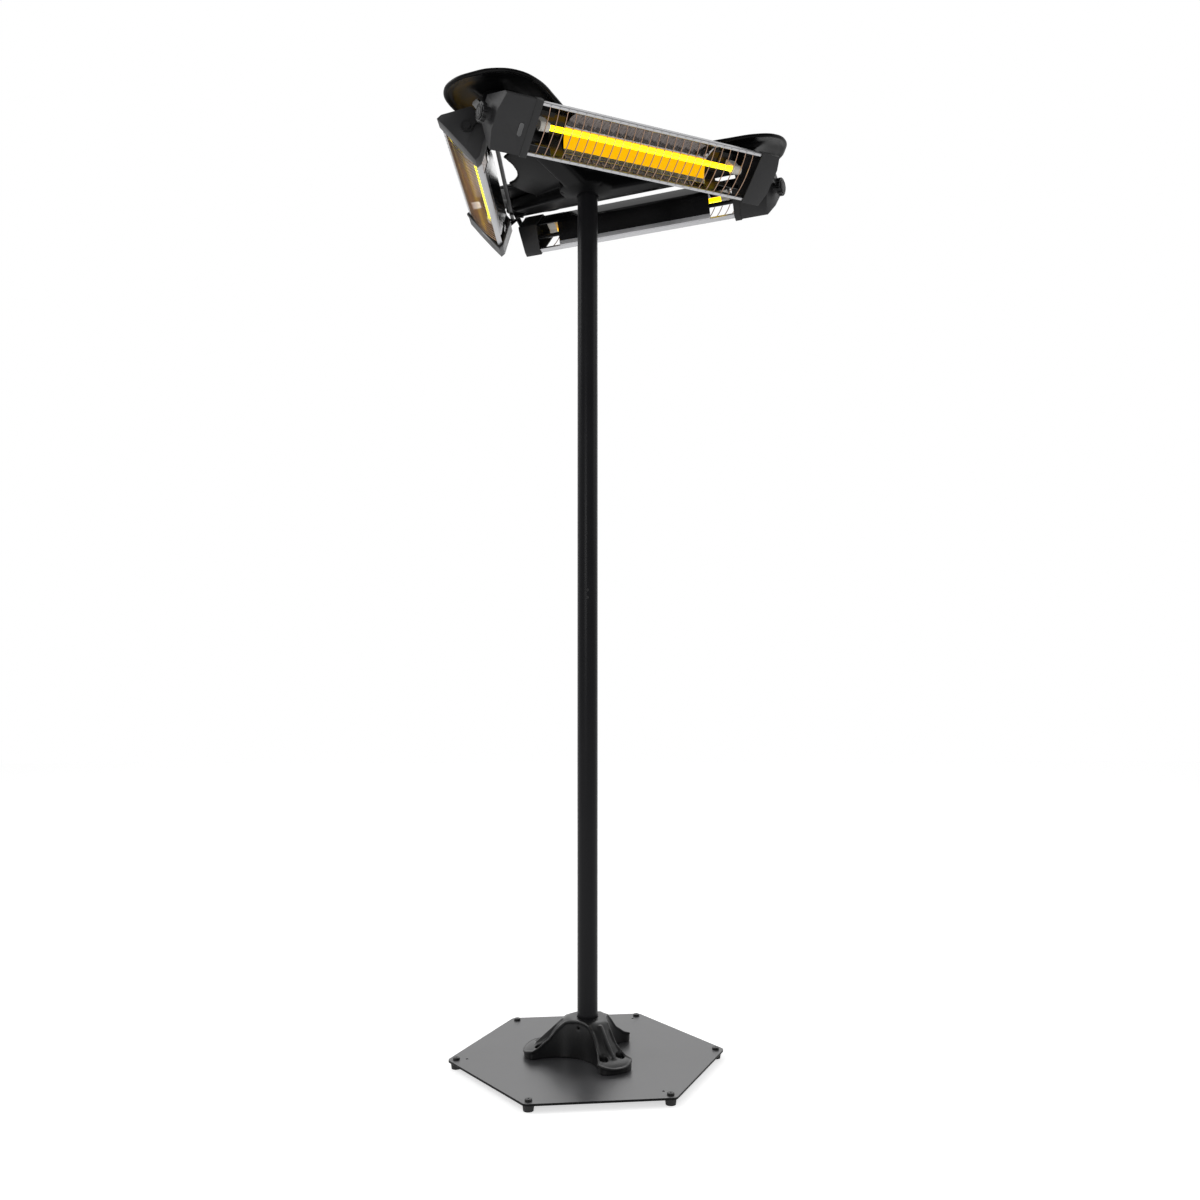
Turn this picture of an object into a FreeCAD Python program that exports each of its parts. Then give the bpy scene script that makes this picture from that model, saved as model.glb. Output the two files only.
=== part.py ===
import FreeCAD, Part
import math
import os

# Free-standing electric patio heater: a hexagonal base plate, a cast foot, a two-piece pole and a
# three-armed head whose leaf-shaped petals carry three tilting infrared heaters in a triangle.
# All sizes are millimetres, +Z is up, and the origin is on the floor under the pole axis.

# Shared fits and clearances
cut_overrun = 2.0
seat_clearance = 0.3
running_clearance = 0.05
head_turn_deg = -0.6
heater_count = 3

# Base plate and its six feet
foot_height = 15.0
foot_top_radius = 13.0
foot_bottom_radius = 11.0
plate_thickness = 5.0
plate_corner_reach = 320.0
plate_corner_radius = 14.0
plate_turn_deg = 5.8
corner_count = 6
corner_screw_reach = 300.0
corner_screw_radius = 4.0
corner_head_radius = 8.0
corner_head_height = 5.0
corner_screw_depth = 9.0
anchor_reach = 276.0
anchor_hole_radius = 3.0
anchor_count = 3

# Cast foot with three toes
casting_radius = 146.0
casting_height = 88.0
casting_edge_height = 13.0
casting_collar_radius = 34.0
casting_radius_shares = (0.95, 0.80, 0.62, 0.50, 0.38)
casting_height_shares = (0.20, 0.29, 0.50, 0.74, 0.93)
niche_reach = 133.0
niche_radius = 91.0
toe_corner_radius = 20.0
toe_screw_reach = 110.0
toe_screw_offset = 21.0
toe_screw_radius = 4.0
toe_head_radius = 7.0
toe_head_height = 6.0
toe_counterbore_radius = 9.5
toe_seat_height = 15.0
toe_rib_length = 62.0
toe_rib_reach = 89.0
toe_rib_thickness = 9.0
toe_rib_drop = 56.0
toe_rib_height = 84.0
clamp_screw_radius = 3.0
clamp_screw_height = 70.0

# Pole tubes
pole_radius = 23.5
pole_wall = 2.0
pole_seat_height = 3.0
pole_joint_height = 1081.0
pole_top_height = 2046.0
sleeve_wall = 2.0
sleeve_length = 160.0
joint_screw_radius = 2.5
joint_screw_head_radius = 3.6
joint_screw_head_height = 1.2
joint_screw_spacing = 17.0
grommet_height = 150.0
grommet_hole_radius = 8.0
grommet_flange_radius = 11.0
grommet_flange_thickness = 2.5
grommet_bore_radius = 4.5

# Head hub
hub_grip = 40.0
hub_height = 66.0
hub_collar_radius = 27.5
hub_collar_length = 22.0
hub_flare_radius = 66.0
hub_flare_rise = 12.0
hub_ceiling = 6.0
hub_cap_radius = 52.0
hub_cap_height = 12.0
hub_cap_top_share = 0.8
hub_cap_wall = 3.0
hub_screw_radius = 3.0
terminal_room_radius = 44.0
terminal_length = 30.0
terminal_width = 16.0
terminal_height = 13.0

# Arms under the petals, each on its own rising plane
petal_plane_rise = 6.0
petal_slope_deg = 8.0
arm_tip_margin = 26.0
arm_root_half_width = 31.0
arm_tip_half_width = 25.0
arm_depth = 30.0
arm_root_depth = 46.0
arm_edge_radius = 8.0
arm_tip_share = 0.8
boss_radius = 9.5
seat_margin = 31.0
web_radius = 208.0
web_thickness = 6.0
web_drop = 9.0
web_scoop_reach = 307.0
web_scoop_radius = 142.0

# Leaf-shaped petals
petal_start = 72.0
petal_length = 394.0
petal_half_width = 113.0
petal_rim_thickness = 5.0
petal_lip_depth = 3.2
petal_lip_width = 4.0
petal_wall = 3.5
petal_dome_height = 11.0
petal_along_shares = (0.0, 0.07, 0.24, 0.44, 0.64, 0.80, 0.915, 0.985, 1.0)
petal_across_shares = (0.0, 0.45, 0.73, 0.90, 0.99, 1.0, 0.83, 0.45, 0.0)
petal_centre_share = 0.62
dome_size_shares = (0.86, 0.76, 0.44)
dome_height_shares = (0.0, 0.62, 1.0)
petal_screw_radius = 3.0
petal_screw_head_radius = 6.0
petal_screw_head_height = 3.0
petal_screw_depth = 14.0
petal_screw_along = 98.0
petal_screw_across = 14.0
vent_hole_radius = 3.0
vent_hole_along = 330.0
vent_hole_across = 99.0

# Heater frame: the middle of the guard's face, its tilt and its pivot
heater_reach = 267.0
heater_drop = 29.0
heater_tilt_deg = 43.0
pivot_depth = 30.0
body_half_height = 56.0
body_back_half_height = 23.0
body_lip_depth = 9.0
body_depth = 63.0
guard_length = 549.0

# Housing and reflector
housing_length = 424.0
housing_wall = 1.8
reflector_length = 412.0
reflector_wall = 1.0
reflector_gap = 2.2

# Guard rails and wires
rail_height = 7.0
rail_depth = 11.0
wire_count = 26
wire_radius = 1.1
wire_bow = 7.0
wire_stand_in = 2.0

# Lamp
lamp_radius = 6.0
lamp_wall = 1.0
lamp_length = 486.0
lamp_depth = 28.0
filament_width = 5.0
filament_thickness = 0.6
filament_length = 462.0
holder_length = 22.0
holder_radius = 10.0
holder_foot_width = 16.0
bridge_thickness = 3.0
bridge_width = 18.0

# End caps
cap_margin = 3.0
cap_wall = 2.5
cap_length = 46.0
cap_bulge = 9.0
cap_chamfer = 30.0
cover_length = 82.0
cover_bulge = 9.0
cover_chamfer = 38.0
collar_width = 16.0
collar_margin = 1.6
cap_boss_radius = 12.0
window_length = 30.0
window_width = 11.0
window_recess = 0.6
window_from_collar = 15.0
window_drop = 6.0
board_length = 58.0
board_width = 44.0
board_thickness = 1.6
board_depth = 16.0
board_post_radius = 3.0

# Yoke behind each heater, and its pivots
yoke_reach_back = 44.0
yoke_rise = 37.5
yoke_bar_width = 10.0
yoke_bar_height = 6.0
yoke_arm_thickness = 3.0
yoke_arm_width = 17.0
yoke_eye_radius = 13.0
yoke_bolt_margin = 43.5
yoke_bolt_radius = 3.0
yoke_bolt_head_radius = 5.0
yoke_bolt_head_height = 3.5
yoke_bolt_depth = 14.0
pivot_radius = 4.0
pivot_head_radius = 7.5
pivot_head_height = 4.0
pivot_grip = 10.0
knob_radius = 21.0
knob_thickness = 9.0
knob_flute_count = 12
knob_flute_radius = 2.6
knob_hub_radius = 9.0
knob_hub_rise = 2.0
knob_bore_depth = 6.0

# Places worked out from the sizes above
plate_bottom = foot_height
plate_top = foot_height + plate_thickness
pole_bottom = plate_top + pole_seat_height
pole_bore = pole_radius - pole_wall
hub_bottom_height = pole_top_height - hub_grip
hub_top_height = hub_bottom_height + hub_height
petal_plane_height = pole_top_height + petal_plane_rise
heater_height = pole_top_height - heater_drop
sleeve_radius = pole_bore - seat_clearance
pivot_reach = heater_reach - pivot_depth * math.cos(math.radians(heater_tilt_deg))
pivot_height = heater_height + pivot_depth * math.sin(math.radians(heater_tilt_deg))
yoke_reach = pivot_reach - yoke_reach_back
yoke_height = pivot_height + yoke_rise
yoke_top = yoke_height + yoke_bar_height / 2
yoke_bolt_place = guard_length / 2 + yoke_bolt_margin
yoke_bolt_reach = math.hypot(yoke_bolt_place, yoke_reach)
arm_length = yoke_bolt_reach + arm_tip_margin
seat_reach = yoke_bolt_reach - seat_margin
cap_end = guard_length / 2 + cap_length + cap_bulge
cover_end = guard_length / 2 + cover_length + cover_bulge
plain_arm_inner = cap_end + yoke_arm_thickness
control_arm_inner = cover_end + yoke_arm_thickness * 3
wire_pitch = guard_length / (wire_count + 1)


def vec(x, y, z):
    return FreeCAD.Vector(x, y, z)


X_AXIS = vec(1, 0, 0)
Y_AXIS = vec(0, 1, 0)
Z_AXIS = vec(0, 0, 1)


def cylinder(radius, height, base, axis=Z_AXIS):
    return Part.makeCylinder(radius, height, base, axis)


def box_between(low, high):
    return Part.makeBox(high.x - low.x, high.y - low.y, high.z - low.z, low)


def prism(points, direction):
    return Part.Face(Part.makePolygon(points + [points[0]])).extrude(direction)


def at_angle(shape, angle_deg):
    turned = shape.copy()
    turned.rotate(vec(0, 0, 0), Z_AXIS, angle_deg)
    return turned


def polar(radius, angle_deg, height):
    angle = math.radians(angle_deg)
    return vec(radius * math.cos(angle), radius * math.sin(angle), height)


def mirrored_y(shape):
    return shape.mirror(vec(0, 0, 0), Y_AXIS)


def fused(shapes):
    whole = shapes[0].multiFuse(shapes[1:]) if len(shapes) > 1 else shapes[0]
    return whole.removeSplitter()


def save(name, shapes):
    whole = shapes[0]
    if len(shapes) > 1:
        whole = Part.makeCompound(shapes)
    whole.exportStep("parts/" + name + ".step")


def corner_angles():
    return [plate_turn_deg + i * 360.0 / corner_count for i in range(corner_count)]


def toe_angles():
    return [head_turn_deg + 60.0 + i * 360.0 / heater_count for i in range(heater_count)]


def petal_angles():
    return [head_turn_deg - 120.0 * (i + 1) for i in range(heater_count)]


def heater_turns():
    return [head_turn_deg + 30.0 - 120.0 * i for i in range(heater_count)]


# Base plate, rounded at its six corners
def base_plate():
    corners = [polar(plate_corner_reach, a, plate_bottom) for a in corner_angles()]
    plate = prism(corners, vec(0, 0, plate_thickness))
    uprights = [e for e in plate.Edges if abs(e.Vertexes[0].Z - e.Vertexes[1].Z) > plate_thickness / 2]
    plate = plate.makeFillet(plate_corner_radius, uprights)
    holes = []
    for angle in corner_angles():
        foot = polar(corner_screw_reach, angle, plate_bottom - cut_overrun)
        holes.append(cylinder(corner_screw_radius, plate_thickness + 2 * cut_overrun, foot))
    for i in range(anchor_count):
        angle = plate_turn_deg + 60.0 + i * 360.0 / anchor_count
        foot = polar(anchor_reach, angle, plate_bottom - cut_overrun)
        holes.append(cylinder(anchor_hole_radius, plate_thickness + 2 * cut_overrun, foot))
    for place in toe_screw_places(plate_bottom - cut_overrun):
        holes.append(cylinder(toe_screw_radius, plate_thickness + 2 * cut_overrun, place))
    return plate.cut(holes)


def toe_screw_places(height):
    places = []
    for angle in toe_angles():
        for side in (-1, 1):
            spot = vec(toe_screw_reach, side * toe_screw_offset, height)
            places.append(FreeCAD.Rotation(Z_AXIS, angle).multVec(spot))
    return places


def levelling_foot(angle):
    base = polar(corner_screw_reach, angle, 0)
    foot = Part.makeCone(foot_bottom_radius, foot_top_radius, foot_height, base, Z_AXIS)
    socket_foot = polar(corner_screw_reach, angle, plate_top - corner_screw_depth - plate_thickness)
    return foot.cut(cylinder(corner_screw_radius, foot_height, socket_foot))


def domed_screw(base, shank_radius, shank_depth, head_radius, head_height, socket_radius):
    head = cylinder(head_radius, head_height, base)
    rim = [e for e in head.Edges if e.Closed and e.CenterOfMass.z > base.z + head_height / 2]
    head = head.makeFillet(head_height / 2, rim)
    shank = cylinder(shank_radius, shank_depth, base - vec(0, 0, shank_depth))
    socket = cylinder(socket_radius, head_height, base + vec(0, 0, head_height / 2))
    return fused([head, shank]).cut(socket)


def corner_screw(angle):
    base = polar(corner_screw_reach, angle, plate_top)
    depth = corner_screw_depth + plate_thickness
    socket = corner_screw_radius / 2
    return domed_screw(base, corner_screw_radius, depth, corner_head_radius, corner_head_height, socket)


# Cast foot: a bell cut by three upright niches, which leave three toes
def casting_bell():
    shoulder = [vec(casting_radius, 0, plate_top + casting_edge_height)]
    for r_share, h_share in zip(casting_radius_shares, casting_height_shares):
        shoulder.append(vec(casting_radius * r_share, 0, plate_top + casting_height * h_share))
    shoulder.append(vec(casting_collar_radius, 0, plate_top + casting_height))
    slope = Part.BSplineCurve()
    slope.interpolate(shoulder)
    outline = [Part.makeLine(vec(0, 0, plate_top), vec(casting_radius, 0, plate_top)),
               Part.makeLine(vec(casting_radius, 0, plate_top), shoulder[0]),
               slope.toShape(),
               Part.makeLine(shoulder[-1], vec(0, 0, plate_top + casting_height)),
               Part.makeLine(vec(0, 0, plate_top + casting_height), vec(0, 0, plate_top))]
    return Part.Face(Part.Wire(outline)).revolve(vec(0, 0, 0), Z_AXIS, 360)


def foot_casting():
    niches = []
    for angle in petal_angles():
        foot = polar(niche_reach, angle, plate_top - cut_overrun)
        niches.append(cylinder(niche_radius, casting_height + 2 * cut_overrun, foot))
    plan = cylinder(casting_radius, casting_height, vec(0, 0, plate_top)).cut(niches)
    corners = [e for e in plan.Edges if e.BoundBox.ZLength > casting_height / 2
               and math.hypot(e.CenterOfMass.x, e.CenterOfMass.y) > casting_radius - cut_overrun]
    body = plan.makeFillet(toe_corner_radius, corners).common(casting_bell())
    cuts = [cylinder(pole_radius, casting_height + cut_overrun, vec(0, 0, pole_bottom))]
    seat = plate_top + toe_seat_height
    for place in toe_screw_places(seat):
        cuts.append(cylinder(toe_counterbore_radius, casting_height, place))
        foot = vec(place.x, place.y, plate_top - cut_overrun)
        cuts.append(cylinder(toe_screw_radius, casting_height, foot))
    body = body.cut(cuts)
    ribs = [at_angle(toe_rib(), angle).cut(cuts[0]) for angle in toe_angles()]
    screws = []
    for angle in petal_angles():
        start = vec(0, 0, plate_top + clamp_screw_height)
        screws.append(cylinder(clamp_screw_radius, casting_collar_radius * 2, start, polar(1, angle, 0)))
    return fused([body] + ribs).cut(screws)


# Tapered ridge that runs down each toe between its two screws
def toe_rib():
    inner = toe_rib_reach - toe_rib_length / 2
    outer = toe_rib_reach + toe_rib_length / 2
    low = plate_top + toe_seat_height
    side = [vec(inner, -toe_rib_thickness / 2, low),
            vec(outer, -toe_rib_thickness / 2, low),
            vec(outer, -toe_rib_thickness / 2, plate_top + toe_rib_height - toe_rib_drop),
            vec(inner, -toe_rib_thickness / 2, plate_top + toe_rib_height)]
    return prism(side, vec(0, toe_rib_thickness, 0))


def toe_screw(place):
    depth = toe_seat_height + plate_thickness
    return domed_screw(place, toe_screw_radius, depth, toe_head_radius, toe_head_height, toe_screw_radius / 2)


def clamp_screw(angle):
    height = plate_top + clamp_screw_height
    start = polar(pole_radius + seat_clearance, angle, height)
    length = casting_collar_radius - pole_radius
    return cylinder(clamp_screw_radius, length, start, polar(1, angle, 0))


# Pole: two tubes end to end over an inner sleeve
def pole_tube(bottom, top):
    outer = cylinder(pole_radius, top - bottom, vec(0, 0, bottom))
    return outer.cut(cylinder(pole_bore, top - bottom + 2 * cut_overrun, vec(0, 0, bottom - cut_overrun)))


def joint_screw_heights():
    return [pole_joint_height - joint_screw_spacing / 2, pole_joint_height + joint_screw_spacing / 2]


def joint_screw_holes(radius):
    start = -pole_radius - joint_screw_head_height - cut_overrun
    length = pole_radius + cut_overrun
    return [cylinder(radius, length, vec(0, start, z), Y_AXIS) for z in joint_screw_heights()]


def lower_pole():
    tube = pole_tube(pole_bottom, pole_joint_height)
    inlet = cylinder(grommet_hole_radius, pole_radius + cut_overrun, vec(0, 0, grommet_height), Y_AXIS)
    return tube.cut([joint_screw_holes(joint_screw_radius)[0], inlet])


def upper_pole():
    tube = pole_tube(pole_joint_height, pole_top_height)
    return tube.cut(joint_screw_holes(joint_screw_radius)[1])


def pole_sleeve():
    bottom = pole_joint_height - sleeve_length / 2
    outer = cylinder(sleeve_radius, sleeve_length, vec(0, 0, bottom))
    bore_foot = vec(0, 0, bottom - cut_overrun)
    bore = cylinder(sleeve_radius - sleeve_wall, sleeve_length + 2 * cut_overrun, bore_foot)
    return outer.cut([bore] + joint_screw_holes(joint_screw_radius))


def joint_screw(height):
    face = -math.sqrt(pole_radius ** 2 - joint_screw_radius ** 2)
    shank = cylinder(joint_screw_radius, pole_wall + sleeve_wall + joint_screw_head_height,
                     vec(0, -pole_radius, height), Y_AXIS)
    start = vec(0, face - joint_screw_head_height, height)
    head = cylinder(joint_screw_head_radius, joint_screw_head_height, start, Y_AXIS)
    pole_foot = vec(0, 0, height - joint_screw_head_radius)
    head = head.cut(cylinder(pole_radius, joint_screw_head_radius * 2, pole_foot))
    return fused([shank, head])


# Cable inlet at the back of the pole, just above the cast foot
def inlet_grommet():
    start = vec(0, pole_bore, grommet_height)
    depth = pole_wall + grommet_flange_thickness
    neck = cylinder(grommet_hole_radius, depth, start, Y_AXIS)
    flange = cylinder(grommet_flange_radius, grommet_flange_thickness, start + vec(0, pole_wall, 0), Y_AXIS)
    flange = flange.cut(cylinder(pole_radius, grommet_flange_radius * 2,
                                 vec(0, 0, grommet_height - grommet_flange_radius)))
    bore = cylinder(grommet_bore_radius, depth + 2 * cut_overrun, start - vec(0, cut_overrun, 0), Y_AXIS)
    inside = cylinder(pole_bore, grommet_hole_radius * 2, vec(0, 0, grommet_height - grommet_hole_radius))
    return fused([neck, flange]).cut([bore, inside])


# Head hub with its three arms in one casting
def petal_frame(angle):
    tilt = FreeCAD.Rotation(Y_AXIS, -petal_slope_deg)
    turn = FreeCAD.Rotation(Z_AXIS, angle)
    return FreeCAD.Placement(vec(0, 0, petal_plane_height), turn.multiply(tilt))


def placed(shape, placement):
    moved = shape.copy()
    moved.Placement = placement.multiply(moved.Placement)
    return moved


def arm_beam():
    plan = [vec(0, -arm_root_half_width, -arm_root_depth), vec(arm_length, -arm_tip_half_width, -arm_root_depth),
            vec(arm_length, arm_tip_half_width, -arm_root_depth), vec(0, arm_root_half_width, -arm_root_depth)]
    beam = prism(plan, vec(0, 0, arm_root_depth))
    wedge = [vec(0, -arm_root_half_width, -arm_root_depth), vec(arm_length, -arm_root_half_width, -arm_depth),
             vec(arm_length, -arm_root_half_width, -arm_root_depth)]
    beam = beam.cut(prism(wedge, vec(0, arm_root_half_width * 2, 0)))
    tip = [e for e in beam.Edges if abs(e.CenterOfMass.x - arm_length) < cut_overrun
           and abs(e.Vertexes[0].Z - e.Vertexes[1].Z) > arm_depth / 2]
    beam = beam.makeFillet(arm_tip_half_width * arm_tip_share, tip)
    under = [e for e in beam.Edges if e.BoundBox.ZMax < -arm_depth / 2 and e.CenterOfMass.x > cut_overrun]
    return beam.makeFillet(arm_edge_radius, under)


def hub_flare():
    side = [vec(0, 0, hub_bottom_height), vec(hub_collar_radius, 0, hub_bottom_height),
            vec(hub_flare_radius, 0, hub_bottom_height + hub_flare_rise),
            vec(hub_flare_radius, 0, hub_top_height), vec(0, 0, hub_top_height)]
    return Part.Face(Part.makePolygon(side + [side[0]])).revolve(vec(0, 0, 0), Z_AXIS, 360)


# Web between the arms: a rising cone with three scooped edges
def arm_web():
    rise = math.tan(math.radians(petal_slope_deg))
    low = petal_plane_height - web_drop - web_thickness
    side = [vec(0, 0, low), vec(web_radius, 0, low + web_radius * rise),
            vec(web_radius, 0, low + web_radius * rise + web_thickness), vec(0, 0, low + web_thickness)]
    cone = Part.Face(Part.makePolygon(side + [side[0]])).revolve(vec(0, 0, 0), Z_AXIS, 360)
    scoops = [cylinder(web_scoop_radius, hub_top_height, polar(web_scoop_reach, angle, hub_bottom_height))
              for angle in toe_angles()]
    return cone.cut(scoops)


# Place of a yoke bolt on its bar, as a point on the floor plan of the head
def yoke_bolt_places(height):
    places = []
    for turn in heater_turns():
        for side in (-1, 1):
            spot = vec(side * yoke_bolt_place, -yoke_reach, height)
            places.append(FreeCAD.Rotation(Z_AXIS, turn).multVec(spot))
    return places


def head_hub():
    arms = [placed(arm_beam(), petal_frame(angle)) for angle in petal_angles()]
    above = box_between(vec(-hub_flare_radius, -hub_flare_radius, hub_top_height),
                        vec(hub_flare_radius, hub_flare_radius, hub_top_height + arm_depth * 2))
    bosses = [cylinder(boss_radius, arm_depth / 2, place) for place in yoke_bolt_places(yoke_top)]
    body = fused([hub_flare(), arm_web()] + arms + bosses).cut(above)
    under = cylinder(petal_length * 2, arm_depth, vec(0, 0, yoke_top - arm_depth))
    below = under.cut(cylinder(seat_reach, arm_depth, vec(0, 0, yoke_top - arm_depth)))
    body = body.cut(below)
    bore = cylinder(pole_radius, pole_top_height - hub_bottom_height + cut_overrun,
                    vec(0, 0, hub_bottom_height - cut_overrun))
    room = cylinder(terminal_room_radius, hub_top_height, vec(0, 0, hub_top_height - hub_ceiling * 2))
    threads = [cylinder(yoke_bolt_radius, yoke_bolt_depth, place) for place in yoke_bolt_places(yoke_top)]
    pins = [cylinder(hub_screw_radius, hub_flare_radius, vec(0, 0, hub_bottom_height + hub_collar_length / 2),
                     polar(1, angle, 0)) for angle in toe_angles()]
    holes = []
    for angle in petal_angles():
        for spot in petal_screw_places():
            hole = cylinder(petal_screw_radius, petal_screw_depth, spot - vec(0, 0, petal_screw_depth))
            holes.append(placed(hole, petal_frame(angle)))
    return body.cut([bore, room] + threads + pins + holes)


def hub_screw(angle):
    start = polar(pole_radius + seat_clearance, angle, hub_bottom_height + hub_collar_length / 2)
    return cylinder(hub_screw_radius, hub_collar_radius - pole_radius, start, polar(1, angle, 0))


def hub_cap():
    rim = vec(0, 0, hub_top_height)
    top_radius = hub_cap_radius * hub_cap_top_share
    crown = Part.makeCone(hub_cap_radius, top_radius, hub_cap_height, rim, Z_AXIS)
    top = [e for e in crown.Edges if e.Closed and e.CenterOfMass.z > hub_top_height + hub_cap_height / 2]
    crown = crown.makeFillet(hub_cap_height / 2, top)
    room = Part.makeCone(hub_cap_radius - hub_cap_wall, top_radius - hub_cap_wall,
                         hub_cap_height - hub_cap_wall, rim, Z_AXIS)
    return crown.cut(room)


def terminal_block():
    floor = hub_top_height - hub_ceiling * 2
    low = vec(-terminal_length / 2, pole_radius, floor)
    return box_between(low, low + vec(terminal_length, terminal_width, terminal_height))


# Petals: a leaf-shaped rim with a lip, and a dome that is hollow underneath
def leaf_wire(size_share, height):
    centre = petal_start + petal_length * petal_centre_share
    right = []
    for along, across in zip(petal_along_shares, petal_across_shares):
        x = petal_start + petal_length * along
        right.append(vec(centre + (x - centre) * size_share, petal_half_width * across * size_share, height))
    left = [vec(p.x, -p.y, p.z) for p in reversed(right[1:-1])]
    leaf = Part.BSplineCurve()
    leaf.interpolate(right + left, PeriodicFlag=True)
    return Part.Wire([leaf.toShape()])


def leaf_slab(size_share, bottom, top):
    return Part.Face(leaf_wire(size_share, bottom)).extrude(vec(0, 0, top - bottom))


def dome(shrink, drop):
    sections = []
    for size, rise in zip(dome_size_shares, dome_height_shares):
        height = petal_rim_thickness + petal_dome_height * rise - drop
        sections.append(leaf_wire(size - shrink, height))
    return Part.makeLoft(sections, True, False)


def petal():
    inset_share = petal_lip_width / petal_half_width
    wall_share = petal_wall / petal_half_width
    slab = leaf_slab(1, -petal_lip_depth, petal_rim_thickness)
    under = leaf_slab(1 - inset_share, -petal_lip_depth - cut_overrun, 0)
    mouth = leaf_slab(dome_size_shares[0] - wall_share, -cut_overrun, petal_rim_thickness)
    shell = slab.cut(under).fuse(dome(0, 0)).cut([mouth, dome(wall_share, petal_wall)])
    gap = arm_root_half_width + seat_clearance
    way_end = petal_start + petal_length * petal_centre_share
    arm_way = box_between(vec(0, -gap, -arm_depth), vec(way_end, gap, 0))
    strip = box_between(vec(petal_start, -arm_tip_half_width, 0),
                        vec(arm_length, arm_tip_half_width, petal_rim_thickness))
    floor = strip.common(leaf_slab(1, 0, petal_rim_thickness))
    holes = [cylinder(petal_screw_radius, petal_dome_height * 2, spot - vec(0, 0, cut_overrun))
             for spot in petal_screw_places()]
    heads = [cylinder(petal_screw_head_radius + seat_clearance, petal_dome_height * 2,
                      spot + vec(0, 0, petal_rim_thickness)) for spot in petal_screw_places()]
    hub_way = cylinder(hub_cap_radius + cut_overrun, petal_dome_height * 4, vec(0, 0, -petal_dome_height * 2))
    vents = []
    for side in (-1, 1):
        foot = vec(vent_hole_along, side * vent_hole_across, -petal_rim_thickness)
        vents.append(cylinder(vent_hole_radius, petal_rim_thickness * 3, foot))
    return fused([shell.cut([arm_way, hub_way]), floor]).cut(holes + heads + vents)


def petal_screw_places():
    return [vec(petal_screw_along, side * petal_screw_across, 0) for side in (-1, 1)]


def petal_screws(angle):
    screws = []
    for spot in petal_screw_places():
        base = spot + vec(0, 0, petal_rim_thickness)
        depth = petal_rim_thickness + petal_screw_depth - seat_clearance
        screw = domed_screw(base, petal_screw_radius, depth, petal_screw_head_radius,
                            petal_screw_head_height, petal_screw_radius / 2)
        screws.append(placed(screw, petal_frame(angle)))
    return screws


# Heater frame: X along the heater, Y up its face, Z out of its face
def heater_frame(turn):
    lean = FreeCAD.Rotation(X_AXIS, 90.0 + heater_tilt_deg)
    spin = FreeCAD.Rotation(Z_AXIS, turn)
    return FreeCAD.Placement(spin.multVec(vec(0, -heater_reach, heater_height)), spin.multiply(lean))


def trough_points(x, offset):
    slant = math.atan2(body_depth - body_lip_depth, body_half_height - body_back_half_height)
    back_trim = offset * math.tan((math.pi - slant) / 2 - math.pi / 4)
    front = body_half_height - offset
    back = body_back_half_height - offset + back_trim
    return [vec(x, front, 0), vec(x, front, -body_lip_depth), vec(x, back, -body_depth + offset),
            vec(x, -back, -body_depth + offset), vec(x, -front, -body_lip_depth), vec(x, -front, 0)]


def trough_solid(length, offset):
    return prism(trough_points(-length / 2, offset), vec(length, 0, 0))


def housing():
    outer = trough_solid(housing_length, 0)
    inner = trough_solid(housing_length + 2 * cut_overrun, housing_wall)
    front = box_between(vec(-housing_length, -body_half_height * 2, -rail_depth),
                        vec(housing_length, body_half_height * 2, rail_depth))
    return fused([outer.cut([inner, front]), lamp_bridge(1), lamp_bridge(-1)])


def reflector():
    offset = housing_wall + reflector_gap
    outer = trough_solid(reflector_length, offset)
    inner = trough_solid(reflector_length + 2 * cut_overrun, offset + reflector_wall)
    front = box_between(vec(-housing_length, -body_half_height * 2, -rail_depth),
                        vec(housing_length, body_half_height * 2, rail_depth))
    return outer.cut([inner, front])


# Rails along the two long edges, which hold the wires, the housing and the reflector
def rail(side):
    low = vec(-guard_length / 2, body_half_height - rail_height, -rail_depth)
    bar = box_between(low, vec(guard_length / 2, body_half_height, 0))
    front = [e for e in bar.Edges if abs(e.CenterOfMass.z) < seat_clearance and e.Length > guard_length / 2]
    bar = bar.makeFillet(rail_height / 4, front)
    return bar if side > 0 else mirrored_y(bar)


def guard_wire(x):
    inner = body_half_height - rail_height
    ends = [vec(x, -inner, -wire_stand_in), vec(x, inner, -wire_stand_in)]
    crown = vec(x, 0, wire_bow - wire_stand_in)
    path = Part.Wire([Part.Arc(ends[0], crown, ends[1]).toShape()])
    start = path.Edges[0].tangentAt(path.Edges[0].FirstParameter)
    ring = Part.Wire([Part.Circle(ends[0], start, wire_radius).toShape()])
    body = path.makePipeShell([ring], True, False)
    keep = box_between(vec(x - wire_radius * 2, -inner, -rail_depth),
                       vec(x + wire_radius * 2, inner, rail_depth))
    return body.common(keep)


def guard_wires():
    first = -guard_length / 2 + wire_pitch
    return [guard_wire(first + i * wire_pitch) for i in range(wire_count)]


# Quartz lamp, its filament, its ceramic holders and the bridges that carry them
def lamp_axis(x):
    return vec(x, 0, -lamp_depth)


def quartz_tube():
    outer = cylinder(lamp_radius, lamp_length, lamp_axis(-lamp_length / 2), X_AXIS)
    inner = cylinder(lamp_radius - lamp_wall, lamp_length - 2 * holder_length / 2,
                     lamp_axis(-lamp_length / 2 + holder_length / 2), X_AXIS)
    return outer.cut(inner)


def filament():
    low = lamp_axis(-filament_length / 2) - vec(0, filament_width / 2, filament_thickness / 2)
    return box_between(low, low + vec(filament_length, filament_width, filament_thickness))


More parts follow.
